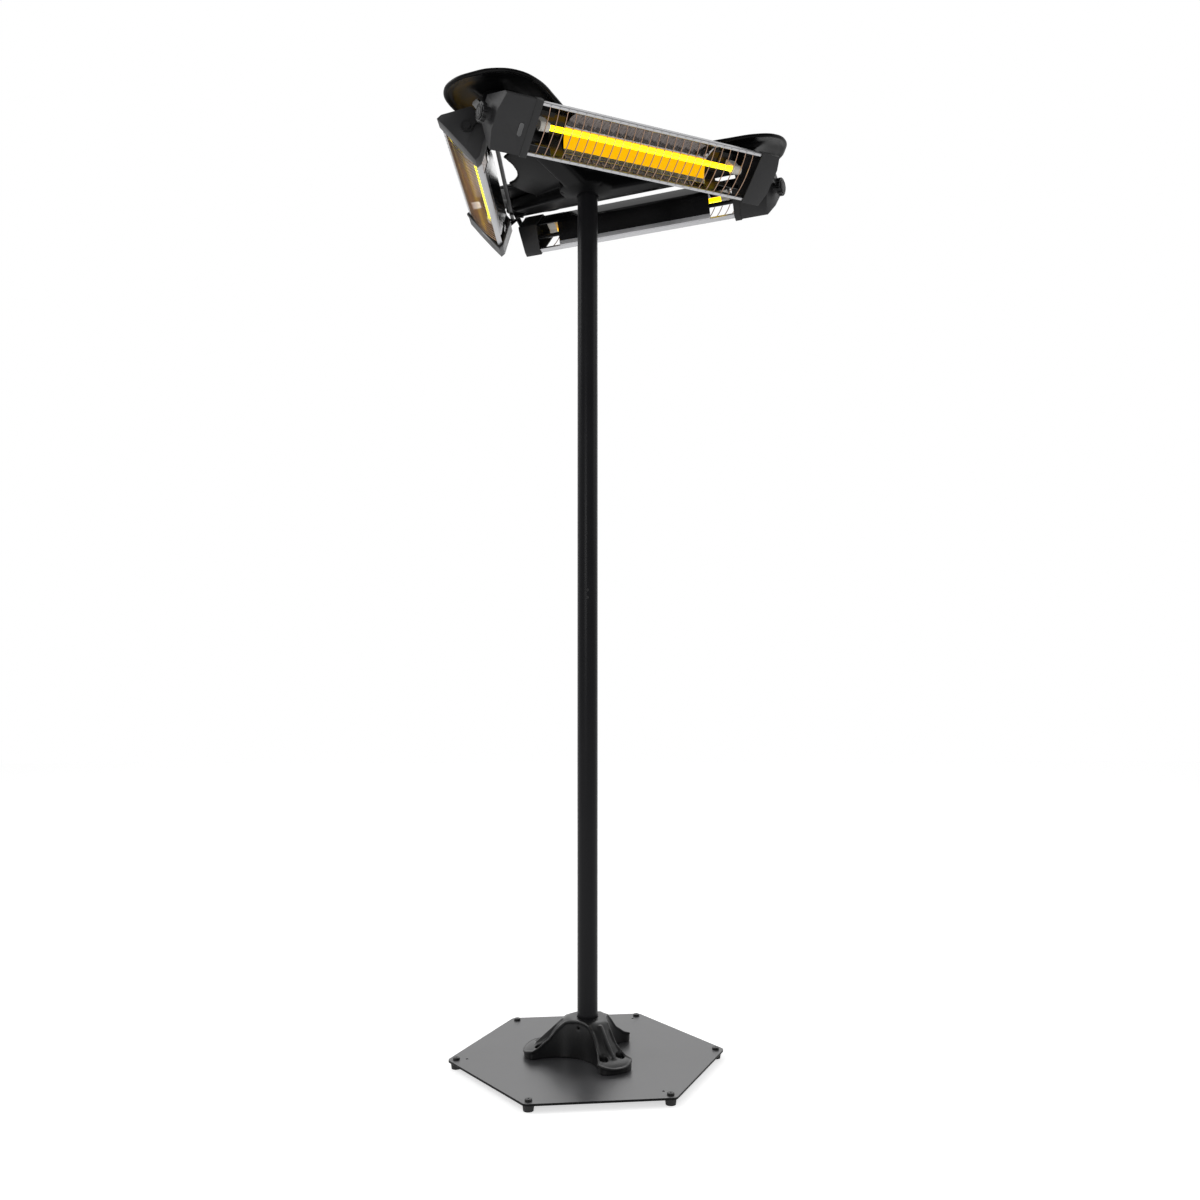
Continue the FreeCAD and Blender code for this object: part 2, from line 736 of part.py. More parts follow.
def lamp_holder(side):
    inner = lamp_length / 2 - holder_length / 2
    sleeve = cylinder(holder_radius, holder_length, lamp_axis(inner), X_AXIS)
    foot_depth = body_depth - lamp_depth - bridge_thickness
    foot = box_between(lamp_axis(inner) - vec(0, holder_foot_width / 2, foot_depth),
                       lamp_axis(inner) + vec(holder_length, holder_foot_width / 2, 0))
    socket = cylinder(lamp_radius, holder_length, lamp_axis(inner - holder_length / 2), X_AXIS)
    whole = fused([sleeve, foot]).cut(socket)
    return whole if side > 0 else whole.mirror(vec(0, 0, 0), X_AXIS)


# Strap of the housing behind each holder, which runs on to the end cap
def lamp_bridge(side):
    inner = housing_length / 2
    outer = guard_length / 2
    strap = box_between(vec(inner, -bridge_width / 2, -body_depth),
                        vec(outer, bridge_width / 2, -body_depth + bridge_thickness))
    return strap if side > 0 else strap.mirror(vec(0, 0, 0), X_AXIS)


# End caps share one outline: the trough's section, bulged at the middle of its end
def cap_solid(length, bulge, chamfer, margin):
    start = guard_length / 2
    points = trough_points(start, -margin)
    points = [vec(p.x, p.y, margin if p.z == 0 else p.z) for p in points]
    block = prism(points, vec(length + bulge, 0, 0))
    half = body_half_height + margin
    plan = [vec(start, -half, -body_depth * 2), vec(start + length, -half, -body_depth * 2),
            vec(start + length + bulge, -half + chamfer, -body_depth * 2),
            vec(start + length + bulge, half - chamfer, -body_depth * 2),
            vec(start + length, half, -body_depth * 2), vec(start, half, -body_depth * 2)]
    return block.common(prism(plan, vec(0, 0, body_depth * 3)))


def hollow_cap(length, bulge, chamfer):
    outer = cap_solid(length, bulge, chamfer, cap_margin)
    inner = cap_solid(length - cap_wall, bulge, chamfer, cap_margin - cap_wall)
    front = box_between(vec(0, -body_half_height * 2, 0),
                        vec(cover_end * 2, body_half_height * 2, body_depth))
    return outer.cut(inner.cut(front))


def pivot_boss(inner, outer):
    return cylinder(cap_boss_radius, outer - inner, vec(inner, 0, -pivot_depth), X_AXIS)


def pivot_hole(outer, radius):
    start = vec(outer - pivot_grip * 2 + cut_overrun, 0, -pivot_depth)
    return cylinder(radius, pivot_grip * 2, start, X_AXIS)


def end_cap():
    shell = hollow_cap(cap_length, cap_bulge, cap_chamfer)
    face = cap_end
    boss = pivot_boss(face - cap_wall - pivot_grip, plain_arm_inner - seat_clearance)
    return fused([shell, boss]).cut(pivot_hole(plain_arm_inner, pivot_radius))


def window_place():
    x = -guard_length / 2 - collar_width - window_from_collar
    return vec(x, -window_drop, cap_margin)


def capsule(centre, length, width, bottom, height):
    half = (length - width) / 2
    low = centre + vec(0, 0, bottom)
    bar = box_between(low - vec(width / 2, half, 0), low + vec(width / 2, half, height))
    ends = [cylinder(width / 2, height, low + vec(0, side * half, 0)) for side in (-1, 1)]
    return fused([bar] + ends)


def control_cover():
    shell = hollow_cap(cover_length, cover_bulge, cover_chamfer).mirror(vec(0, 0, 0), X_AXIS)
    boss = pivot_boss(cover_end - cap_wall - pivot_grip, control_arm_inner - seat_clearance)
    boss = boss.mirror(vec(0, 0, 0), X_AXIS)
    hole = pivot_hole(control_arm_inner, pivot_radius).mirror(vec(0, 0, 0), X_AXIS)
    strap = cap_solid(collar_width, 0, 0, cap_margin + collar_margin).mirror(vec(0, 0, 0), X_AXIS)
    strap = strap.cut(cap_solid(collar_width + cut_overrun, 0, 0, cap_margin).mirror(vec(0, 0, 0), X_AXIS))
    pocket = capsule(window_place(), window_length, window_width, -window_recess, window_recess * 2)
    posts = []
    for across in (-1, 1):
        spot = board_centre() + vec(0, across * board_width / 3, board_thickness)
        posts.append(cylinder(board_post_radius, board_depth - board_thickness, spot))
    return fused([shell, boss, strap] + posts).cut([hole, pocket])


def board_centre():
    x = -guard_length / 2 - collar_width - board_length / 2 - cap_wall
    return vec(x, 0, -board_depth)


def control_board():
    low = board_centre() - vec(board_length / 2, board_width / 2, 0)
    return box_between(low, low + vec(board_length, board_width, board_thickness))


# Tilt pivots: a screw at the plain end, a fixed stud at the control end, and the fluted knob on that stud
def pivot_screw():
    outer = plain_arm_inner + yoke_arm_thickness
    start = plain_arm_inner - pivot_grip
    shank = cylinder(pivot_radius, outer - start + seat_clearance, vec(start, 0, -pivot_depth), X_AXIS)
    head_start = vec(outer + seat_clearance, 0, -pivot_depth)
    head = cylinder(pivot_head_radius, pivot_head_height, head_start, X_AXIS)
    return fused([shank, head])


def knob_stud():
    start = control_arm_inner - pivot_grip
    length = pivot_grip + yoke_arm_thickness + knob_bore_depth
    return cylinder(pivot_radius, length, vec(start, 0, -pivot_depth), X_AXIS).mirror(vec(0, 0, 0), X_AXIS)


def tilt_knob():
    outer = control_arm_inner + yoke_arm_thickness + seat_clearance
    disc = cylinder(knob_radius, knob_thickness, vec(outer, 0, -pivot_depth), X_AXIS)
    rims = [e for e in disc.Edges if e.Closed and e.CenterOfMass.x > outer + knob_thickness / 2]
    disc = disc.makeFillet(knob_flute_radius, rims)
    flutes = []
    for i in range(knob_flute_count):
        angle = i * 2 * math.pi / knob_flute_count
        across = knob_radius * math.cos(angle)
        rise = knob_radius * math.sin(angle) - pivot_depth
        spot = vec(outer - cut_overrun, across, rise)
        flutes.append(cylinder(knob_flute_radius, knob_thickness + 2 * cut_overrun, spot, X_AXIS))
    bore_start = vec(outer - cut_overrun, 0, -pivot_depth)
    bore = cylinder(pivot_radius + running_clearance, knob_bore_depth + cut_overrun, bore_start, X_AXIS)
    rise = cylinder(knob_hub_radius, knob_hub_rise + cut_overrun,
                    vec(outer + knob_thickness - cut_overrun, 0, -pivot_depth), X_AXIS)
    return fused([disc.cut(flutes), rise]).cut(bore).mirror(vec(0, 0, 0), X_AXIS)


# Yoke: a level bar behind the heater and an arm at each end that reaches down to the pivot
def yoke_bar():
    low = vec(-control_arm_inner, -yoke_reach - yoke_bar_width / 2, yoke_height - yoke_bar_height / 2)
    bar = box_between(low, vec(plain_arm_inner, -yoke_reach + yoke_bar_width / 2, yoke_top))
    edges = [e for e in bar.Edges if e.Length > guard_length and e.CenterOfMass.z < yoke_height]
    bar = bar.makeFillet(yoke_bar_height / 4, edges)
    holes = []
    for side in (-1, 1):
        spot = vec(side * yoke_bolt_place, -yoke_reach, yoke_height - yoke_bar_height)
        holes.append(cylinder(yoke_bolt_radius, yoke_bar_height * 2, spot))
    return bar.cut(holes)


def yoke_arm(x):
    eye_centre = vec(x, -pivot_reach, pivot_height)
    eye = cylinder(yoke_eye_radius, yoke_arm_thickness, eye_centre, X_AXIS)
    run = math.hypot(yoke_reach_back, yoke_rise)
    strap = box_between(vec(x, 0, -yoke_arm_width / 2), vec(x + yoke_arm_thickness, run + yoke_arm_width / 2,
                                                           yoke_arm_width / 2))
    strap.rotate(vec(0, 0, 0), X_AXIS, math.degrees(math.atan2(yoke_rise, yoke_reach_back)))
    strap.translate(vec(0, -pivot_reach, pivot_height))
    above = box_between(vec(x - cut_overrun, -heater_reach * 2, yoke_top),
                        vec(x + yoke_arm_thickness + cut_overrun, 0, yoke_top + yoke_arm_width * 2))
    hole = cylinder(pivot_radius + running_clearance, yoke_arm_thickness + 2 * cut_overrun,
                    eye_centre - vec(cut_overrun, 0, 0), X_AXIS)
    return fused([eye, strap]).cut([above, hole])


def yoke_bolt(place):
    depth = yoke_bar_height + yoke_bolt_depth - seat_clearance
    shank = cylinder(yoke_bolt_radius, depth, place)
    head = cylinder(yoke_bolt_head_radius, yoke_bolt_head_height, place - vec(0, 0, yoke_bolt_head_height))
    return fused([shank, head])


def save_stand():
    save("base_plate", [base_plate()])
    save("levelling_feet", [levelling_foot(a) for a in corner_angles()])
    save("corner_screws", [corner_screw(a) for a in corner_angles()])
    save("foot_casting", [foot_casting()])
    save("toe_screws", [toe_screw(p) for p in toe_screw_places(plate_top + toe_seat_height)])
    clamps = [clamp_screw(a) for a in petal_angles()]
    clamps += [hub_screw(a) for a in toe_angles()]
    save("pole_clamp_screws", clamps)
    save("lower_pole", [lower_pole()])
    save("upper_pole", [upper_pole()])
    save("pole_sleeve", [pole_sleeve()])
    save("pole_joint_screws", [joint_screw(z) for z in joint_screw_heights()])
    save("inlet_grommet", [inlet_grommet()])


def save_head():
    save("head_hub", [head_hub()])
    save("hub_cap", [hub_cap()])
    save("terminal_block", [terminal_block()])
    leaf = petal()
    screws = []
    for number, angle in enumerate(petal_angles(), 1):
        save("petal_%d" % number, [placed(leaf, petal_frame(angle))])
        screws += petal_screws(angle)
    bolts = [yoke_bolt(p) for p in yoke_bolt_places(yoke_height - yoke_bar_height / 2)]
    save("head_screws", screws + bolts)


# Each heater piece is made once in the heater's own frame and then placed three times
def save_heaters():
    tilting = {
        "housing": [housing()],
        "reflector": [reflector()],
        "guard_rails": [rail(1), rail(-1)],
        "guard_wires": guard_wires(),
        "lamp_tube": [quartz_tube()],
        "filament": [filament()],
        "lamp_holders": [lamp_holder(1), lamp_holder(-1)],
        "end_cap": [end_cap()],
        "control_cover": [control_cover()],
        "control_board": [control_board()],
        "pivot_pins": [pivot_screw(), knob_stud()],
        "tilt_knob": [tilt_knob()],
    }
    fixed = {
        "yoke_bar": [yoke_bar()],
        "yoke_arms": [yoke_arm(plain_arm_inner), yoke_arm(-control_arm_inner - yoke_arm_thickness)],
    }
    for number, turn in enumerate(heater_turns(), 1):
        for name, shapes in tilting.items():
            save("%s_%d" % (name, number), [placed(shape, heater_frame(turn)) for shape in shapes])
        for name, shapes in fixed.items():
            save("%s_%d" % (name, number), [at_angle(shape, turn) for shape in shapes])


os.makedirs("parts", exist_ok=True)
save_stand()
save_head()
save_heaters()
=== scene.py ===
import bpy
import math
from mathutils import Matrix, Vector


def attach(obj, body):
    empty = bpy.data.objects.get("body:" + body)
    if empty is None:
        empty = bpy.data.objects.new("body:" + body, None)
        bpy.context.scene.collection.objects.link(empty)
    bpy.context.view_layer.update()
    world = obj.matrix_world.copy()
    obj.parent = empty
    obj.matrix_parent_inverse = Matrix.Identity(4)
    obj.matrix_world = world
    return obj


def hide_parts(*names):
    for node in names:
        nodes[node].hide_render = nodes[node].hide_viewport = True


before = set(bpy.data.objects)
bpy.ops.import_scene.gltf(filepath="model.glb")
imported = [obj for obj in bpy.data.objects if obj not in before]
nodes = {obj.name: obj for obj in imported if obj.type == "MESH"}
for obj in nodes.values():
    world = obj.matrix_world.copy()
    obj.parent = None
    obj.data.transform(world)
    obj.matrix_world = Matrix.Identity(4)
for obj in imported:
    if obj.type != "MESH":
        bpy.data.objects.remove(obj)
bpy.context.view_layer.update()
mm = 0.001
print("frame loaded:", len(nodes), "nodes")

# The photograph's camera, fitted to the six corner screws of the base plate
shot = {
    "imageSide": 1200,          # pixels across the square photograph
    "focalPixels": 1226.876,
    "place": (0.0, -2.844085, 1.019203),
    "pitch": 0.01664,           # radians up
    "yaw": 0.010128,            # radians to the right
    "sensor": 36.0,             # mm
    "clipEnd": 60.0,            # m
}

# The head, as it was set out in the solids
head = {
    "turns": (29.4, -90.6, -210.6),          # degrees, one for each heater
    "petalAngles": (-120.6, -240.6, -0.6),
    "heaterReach": 267 * mm,
    "heaterHeight": 2017 * mm,
    "tilt": 43.0,
    "petalPlane": 2052 * mm,
    "petalSlope": 8.0,
}

# The sRGB curve, from a colour code to linear light
srgb = {"knee": 0.04045, "slope": 12.92, "offset": 0.055, "power": 2.4}


def linear(hexColour):
    parts = [int(hexColour[i:i + 2], 16) / 255 for i in (1, 3, 5)]
    return tuple(p / srgb["slope"] if p <= srgb["knee"]
                 else ((p + srgb["offset"]) / (1 + srgb["offset"])) ** srgb["power"] for p in parts) + (1.0,)


# Shared steps of the materials
def addNode(tree, kind, settings=None, links=None):
    node = tree.nodes.new(kind)
    for name, value in (settings or {}).items():
        if name in node.inputs and not hasattr(node, name):
            node.inputs[name].default_value = value
        else:
            setattr(node, name, value)
    for name, source in (links or {}).items():
        tree.links.new(source, node.inputs[name])
    return node


def newMaterial(name, settings):
    material = bpy.data.materials.new(name)
    material.use_nodes = True
    tree = material.node_tree
    shader = tree.nodes["Principled BSDF"]
    for socket, value in settings.items():
        shader.inputs[socket].default_value = value
    return material, tree, shader, addNode(tree, "ShaderNodeTexCoord").outputs


def perMetre(millimetres):
    return 1.0 / (millimetres * mm)


def noise(tree, vector, size, detail):
    settings = {"Scale": perMetre(size), "Detail": detail}
    return addNode(tree, "ShaderNodeTexNoise", settings, {"Vector": vector}).outputs["Fac"]


def tintBetween(tree, shader, factor, dark, light):
    tint = addNode(tree, "ShaderNodeMix", {"data_type": "RGBA"}, {"Factor": factor})
    tint.inputs["A"].default_value = linear(dark)
    tint.inputs["B"].default_value = linear(light)
    tree.links.new(tint.outputs["Result"], shader.inputs["Base Color"])


def varyRoughness(tree, shader, factor, low, high):
    rough = addNode(tree, "ShaderNodeMapRange", {"To Min": low, "To Max": high}, {"Value": factor})
    tree.links.new(rough.outputs["Result"], shader.inputs["Roughness"])


def addBump(tree, shader, height, strength, depth):
    bump = addNode(tree, "ShaderNodeBump", {"Strength": strength, "Distance": depth * mm}, {"Height": height})
    tree.links.new(bump.outputs["Normal"], shader.inputs["Normal"])


# Powder-coated steel: baked polyester powder leaves a fine orange-peel skin with a soft, even sheen
powderSkin = {
    "refraction": 1.5, "grainDetail": 3.0, "cloudSize": 90.0, "cloudDetail": 4.0,
    "smoother": 0.06, "rougher": 0.08, "bump": 0.35,
}


def powderCoat(name, dark, light, roughness, grainSize, bumpDepth, specular=0.5):
    p = powderSkin
    material, tree, shader, where = newMaterial(name, {"IOR": p["refraction"], "Specular IOR Level": specular})
    grain = noise(tree, where["Object"], grainSize, p["grainDetail"])
    cloud = noise(tree, where["Object"], p["cloudSize"], p["cloudDetail"])
    tintBetween(tree, shader, cloud, dark, light)
    varyRoughness(tree, shader, cloud, roughness - p["smoother"], roughness + p["rougher"])
    addBump(tree, shader, grain, p["bump"], bumpDepth)
    return material


# Moulded ABS: spark-eroded tool grain, so the sheen is broken up and slightly uneven
mouldSkin = {
    "refraction": 1.54, "coatRoughness": 0.06, "flowSize": 60.0, "flowDetail": 3.0,
    "smoother": 0.05, "rougher": 0.07, "bump": 0.2, "bumpDepth": 0.05,
}


def mouldedPlastic(name, dark, light, roughness, grainSize, coat, specular=0.5):
    m = mouldSkin
    material, tree, shader, where = newMaterial(name, {
        "IOR": m["refraction"], "Coat Weight": coat, "Coat Roughness": m["coatRoughness"],
        "Specular IOR Level": specular})
    grain = addNode(tree, "ShaderNodeTexVoronoi", {"Scale": perMetre(grainSize)}, {"Vector": where["Object"]})
    flow = noise(tree, where["Object"], m["flowSize"], m["flowDetail"])
    tintBetween(tree, shader, flow, dark, light)
    varyRoughness(tree, shader, flow, roughness - m["smoother"], roughness + m["rougher"])
    addBump(tree, shader, grain.outputs["Distance"], m["bump"], m["bumpDepth"])
    return material


# Drawn or rolled bright metal: fine lines along the drawing direction, coarser than life so that they show
drawnSkin = {"detail": 2.0, "smoother": 0.7, "rougher": 1.4, "bump": 0.1, "bumpDepth": 0.02}


def brightMetal(name, dark, light, roughness, lineSize, along):
    d = drawnSkin
    material, tree, shader, where = newMaterial(name, {"Metallic": 1.0})
    stretch = addNode(tree, "ShaderNodeMapping", {}, {"Vector": where["Object"]})
    stretch.inputs["Scale"].default_value = along
    lines = noise(tree, stretch.outputs["Vector"], lineSize, d["detail"])
    tintBetween(tree, shader, lines, dark, light)
    varyRoughness(tree, shader, lines, roughness * d["smoother"], roughness * d["rougher"])
    addBump(tree, shader, lines, d["bump"], d["bumpDepth"])
    return material


# Soft rubber: dull, with a dusty bloom
rubberSkin = {
    "refraction": 1.52, "roughness": 0.75, "bloomSize": 4.0, "bloomDetail": 5.0,
    "dark": "#131313", "light": "#262627", "bump": 0.3, "bumpDepth": 0.1,
}


def dullRubber(name):
    r = rubberSkin
    material, tree, shader, where = newMaterial(name, {"IOR": r["refraction"], "Roughness": r["roughness"]})
    bloom = noise(tree, where["Object"], r["bloomSize"], r["bloomDetail"])
    tintBetween(tree, shader, bloom, r["dark"], r["light"])
    addBump(tree, shader, bloom, r["bump"], r["bumpDepth"])
    return material


# Glazed steatite: off-white, glossy, a little speckled
glazeSkin = {
    "refraction": 1.55, "roughness": 0.25, "speckleSize": 1.5, "speckleDetail": 4.0,
    "dark": "#d8d2c6", "light": "#f1eee8",
}


def glazedCeramic(name):
    g = glazeSkin
    material, tree, shader, where = newMaterial(name, {"IOR": g["refraction"], "Roughness": g["roughness"]})
    speckle = noise(tree, where["Object"], g["speckleSize"], g["speckleDetail"])
    tintBetween(tree, shader, speckle, g["dark"], g["light"])
    return material


# Glass-fibre circuit board: green solder mask over copper tracks
boardSkin = {
    "refraction": 1.5, "roughness": 0.35, "trackSize": 9.0,
    "colours": {"Color1": "#0d4a2a", "Color2": "#10552f", "Mortar": "#2c7a48"},
}


def circuitBoard(name):
    b = boardSkin
    material, tree, shader, where = newMaterial(name, {"IOR": b["refraction"], "Roughness": b["roughness"]})
    tracks = addNode(tree, "ShaderNodeTexBrick", {"Scale": perMetre(b["trackSize"])}, {"Vector": where["Object"]})
    for socket, colour in b["colours"].items():
        tracks.inputs[socket].default_value = linear(colour)
    tree.links.new(tracks.outputs["Color"], shader.inputs["Base Color"])
    return material


# Gold-tinted quartz lit from inside: yellow where it faces out of the lamp, orange where it faces the reflector
litTube = {
    "refraction": 1.46, "roughness": 0.12, "strength": 2.8, "glass": "#e0a030",
    "stops": ((0.05, "#ffc000"), (0.55, "#fff60a")),         # how far it faces out, and the colour there
}


def litQuartz(name, outward):
    t = litTube
    material, tree, shader, where = newMaterial(name, {
        "IOR": t["refraction"], "Roughness": t["roughness"], "Emission Strength": t["strength"],
        "Base Color": linear(t["glass"])})
    ahead = addNode(tree, "ShaderNodeVectorMath", {"operation": "DOT_PRODUCT"}, {0: where["Normal"]})
    ahead.inputs[1].default_value = outward
    ramp = addNode(tree, "ShaderNodeValToRGB", {}, {"Fac": ahead.outputs["Value"]})
    for stop, (position, colour) in zip(ramp.color_ramp.elements, t["stops"]):
        stop.position = position
        stop.color = linear(colour)
    tree.links.new(ramp.outputs["Color"], shader.inputs["Emission Color"])
    return material


# Each coat: name, dark and light tone, roughness, grain in mm, bump depth in mm, specular level
plateCoat = powderCoat("platePowderCoat", "#343436", "#404042", 0.3, 0.9, 0.01, 1.0)
poleCoat = powderCoat("polePowderCoat", "#18181a", "#1e1e20", 0.3, 0.8, 0.015, 0.12)
castCoat = powderCoat("castingPowderCoat", "#101011", "#161617", 0.32, 1.2, 0.015, 0.5)
headCoat = powderCoat("headPowderCoat", "#0c0c0d", "#131314", 0.38, 1.2, 0.04, 0.03)
# A darker copy of the plate coat, put on the plate's upright sides as painted shade
plateSideShadeCoat = powderCoat("plateSidePaintedShade", "#0b0b0c", "#111112", 0.5, 0.9, 0.02, 0.1)
sheetCoat = powderCoat("sheetPowderCoat", "#0d0d0e", "#141415", 0.32, 0.8, 0.04)
housingGloss = powderCoat("housingGlossEnamel", "#0c0c0d", "#121213", 0.2, 2.0, 0.03, 0.2)
blackSteel = powderCoat("blackOxideSteel", "#101011", "#1a1a1b", 0.35, 0.6, 0.03)
# Each plastic: name, dark and light tone, roughness, grain in mm, clear coat, specular level
lensGloss = mouldedPlastic("lensGlossAcrylic", "#17181a", "#1e1f21", 0.12, 2.5, 0.8)
petalSatin = mouldedPlastic("petalSatinAbs", "#070708", "#0c0c0d", 0.32, 1.4, 0.0, 0.08)
coverAbs = mouldedPlastic("coverMattAbs", "#272728", "#2e2e2f", 0.5, 0.7, 0.0, 0.25)
knobAbs = mouldedPlastic("knobMattAbs", "#151516", "#1c1c1d", 0.36, 0.8, 0.0, 0.2)
knobGloss = mouldedPlastic("knobGlossAbs", "#0d0d0e", "#131314", 0.16, 2.5, 0.0, 0.1)
# Each metal: name, dark and light tone, roughness, line size in mm, stretch of the lines
zincSteel = brightMetal("zincPlatedSteel", "#9a9a9c", "#c2c2c4", 0.3, 0.5, (1, 1, 1))
railAluminium = brightMetal("railSatinAluminium", "#a4a4a6", "#bdbdbf", 0.3, 0.6, (0.1, 0.1, 1))
# Chrome guard wires; their copper tint is a painted reflection of the lamps' orange glow
wirePaintedGlow = brightMetal("wireChromePaintedGlow", "#8c7464", "#a88c7a", 0.16, 0.5, (1, 1, 1))
reflectorSheet = brightMetal("reflectorPolishedAluminium", "#9c9795", "#a6a19f", 0.1, 3.0, (0.2, 0.2, 1))
# The walls are the same polished sheet as the fold, made darker as painted shade for the dark reflections along
# them
wallShadedSheet = brightMetal("wallAluminiumPaintedShade", "#838284", "#8b8a8c", 0.2, 3.0, (0.2, 0.2, 1))
footRubber = dullRubber("footRubber")
ceramic = glazedCeramic("holderSteatite")
boardMask = circuitBoard("boardSolderMask")

finishOf = {
    "base_plate": plateCoat, "levelling_feet": footRubber, "corner_screws": blackSteel,
    "foot_casting": castCoat, "toe_screws": blackSteel, "pole_clamp_screws": blackSteel,
    "lower_pole": poleCoat, "upper_pole": poleCoat, "pole_sleeve": zincSteel,
    "pole_joint_screws": blackSteel, "inlet_grommet": footRubber, "head_hub": headCoat,
    "hub_cap": coverAbs, "terminal_block": ceramic, "head_screws": blackSteel, "petal": petalSatin,
    "housing": sheetCoat, "reflector": reflectorSheet, "guard_rails": railAluminium,
    "guard_wires": wirePaintedGlow, "lamp_holders": ceramic, "end_cap": coverAbs, "control_cover": coverAbs,
    "control_board": boardMask, "pivot_pins": blackSteel, "tilt_knob": knobAbs,
    "yoke_bar": sheetCoat, "yoke_arms": sheetCoat,
}


def dress(obj, material):
    obj.data.materials.clear()
    obj.data.materials.append(material)


# From a heater's own axes, with z out of its lamp, to the frame
def heaterAxes(turn):
    spin = Matrix.Rotation(math.radians(turn), 4, "Z")
    lean = Matrix.Rotation(math.radians(90 + head["tilt"]), 4, "X")
    spot = spin @ Vector((0, -head["heaterReach"], head["heaterHeight"]))
    return Matrix.Translation(spot) @ spin @ lean


for name, obj in nodes.items():
    stem = name[:-2] if name[-2:] in ("_1", "_2", "_3") else name
    if stem in finishOf:
        dress(obj, finishOf[stem])
for number, turn in enumerate(head["turns"], 1):
    outward = (heaterAxes(turn).to_3x3() @ Vector((0, 0, 1))).normalized()
    lit = litQuartz("litGoldQuartz%d" % number, outward)
    dress(nodes["lamp_tube_%d" % number], lit)
    dress(nodes["filament_%d" % number], lit)
print("finishes set")


# Shared modelling steps
modelling = {"weld": 0.00002, "castSoftness": 0.5, "cornerShare": 0.48, "plainAngle": 35}


def clearSelection():
    if bpy.context.object and bpy.context.object.mode != "OBJECT":
        bpy.ops.object.mode_set(mode="OBJECT")
    bpy.ops.object.select_all(action="DESELECT")


def makeActive(piece):
    clearSelection()
    piece.select_set(True)
    bpy.context.view_layer.objects.active = piece


def newest(name):
    piece = bpy.context.object
    piece.name = name
    piece.data.name = name
    return piece


def startEdit():
    bpy.ops.object.mode_set(mode="EDIT")
    bpy.ops.mesh.select_all(action="SELECT")


def endEdit():
    bpy.ops.object.mode_set(mode="OBJECT")


def endClosedEdit():
    bpy.ops.mesh.select_all(action="SELECT")
    bpy.ops.mesh.normals_make_consistent(inside=False)
    endEdit()


def applyModifier(piece, kind, settings):
    modifier = piece.modifiers.new(kind.lower(), kind)
    for name, value in settings.items():
        setattr(modifier, name, value)
    makeActive(piece)
    bpy.ops.object.modifier_apply(modifier=modifier.name)


def cutAway(piece, tool):
    applyModifier(piece, "BOOLEAN", {"operation": "DIFFERENCE", "object": tool, "solver": "EXACT"})
    bpy.data.objects.remove(tool)


def castSkin(piece, skin):
    applyModifier(piece, "REMESH", {"mode": "VOXEL", "voxel_size": skin * mm})


def castEdges(piece, rounds):
    applyModifier(piece, "SMOOTH", {"factor": modelling["castSoftness"], "iterations": rounds})


def copyOfNode(nodeName, pieceName):
    piece = bpy.data.objects.new(pieceName, nodes[nodeName].data.copy())
    bpy.context.scene.collection.objects.link(piece)
    makeActive(piece)
    startEdit()
    bpy.ops.mesh.remove_doubles(threshold=modelling["weld"])
    endEdit()
    return piece


def placeShape(piece, matrix):
    piece.matrix_world = matrix
    makeActive(piece)
    bpy.ops.object.transform_apply(location=True, rotation=True, scale=True)
    return piece


def copyPlaced(piece, name, matrix):
    twin = bpy.data.objects.new(name, piece.data.copy())
    bpy.context.scene.collection.objects.link(twin)
    return placeShape(twin, matrix)


def joinInto(piece, others):
    makeActive(piece)
    for other in others:
        other.select_set(True)
    bpy.context.view_layer.objects.active = piece
    bpy.ops.object.join()
    return piece


def finishPiece(piece, material, body, stoodFor=(), smoothAngle=modelling["plainAngle"]):
    dress(piece, material)
    makeActive(piece)
    bpy.ops.object.shade_smooth_by_angle(angle=math.radians(smoothAngle))
    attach(piece, body)
    if stoodFor:
        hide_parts(*stoodFor)
    return piece


# Cast foot: the solid gets round toes, a bead all round its rim, hollows beside its ridges, and soft cast edges
castFoot = {
    "plateTop": 20.0,
    "bellRadii": (34.0, 55.5, 73.0, 90.5, 116.8, 138.7, 146.0),       # mm from the pole axis
    "bellHeights": (88.0, 81.8, 65.1, 44.0, 25.5, 17.6, 13.0),         # mm above the plate
    "nicheReach": 133.0, "nicheRadius": 91.0,
    "nicheCos": 0.5, "nicheSin": math.sqrt(0.75),                      # a niche lies 60 degrees from a toe
    "nicheSteps": 81,                                                  # one for each degree of the niche
    "toeAngles": (59.4, 179.4, 299.4),
    "toeCentre": 112.0, "toeLength": 36.0, "toeHalfWidth": 46.0,       # the ellipse that rounds each toe
    "toeSteps": 15,                                                    # for half of that round
    "beadRadius": 2.6, "beadInset": 1.2, "beadSink": 1.0, "beadSteps": 3,
    "hollowReach": 84.0, "hollowSide": 19.0, "hollowHeight": 66.0, "hollowSize": (40.0, 10.5, 13.0),
    "hollowSlope": 47.0, "hollowSegments": 24, "hollowRings": 12,
    "skin": 1.7,                                                       # mm between the points of the cast skin
    "softening": 5, "smoothAngle": 70,
}


def bellHeight(radius):
    radii, heights = castFoot["bellRadii"], castFoot["bellHeights"]
    for i in range(len(radii) - 1):
        if radius <= radii[i + 1]:
            share = (radius - radii[i]) / (radii[i + 1] - radii[i])
            return heights[i] + (heights[i + 1] - heights[i]) * share
    return heights[-1]


def toeShare(u, v):
    return ((u - castFoot["toeCentre"]) / castFoot["toeLength"]) ** 2 + (v / castFoot["toeHalfWidth"]) ** 2


# One half of the edge of a toe, from the top of the niche's arch to the round of the toe
def nicheEdge():
    c = castFoot
    edge = []
    for step in range(c["nicheSteps"]):
        around = math.radians(step)
        out = c["nicheReach"] - (c["nicheRadius"] + c["beadInset"]) * math.cos(around)
        side = (c["nicheRadius"] + c["beadInset"]) * math.sin(around)
        u = out * c["nicheCos"] + side * c["nicheSin"]
        v = out * c["nicheSin"] - side * c["nicheCos"]
        if u > c["toeCentre"] and toeShare(u, v) > 1:
            break
        edge.append((u, v))
    return edge


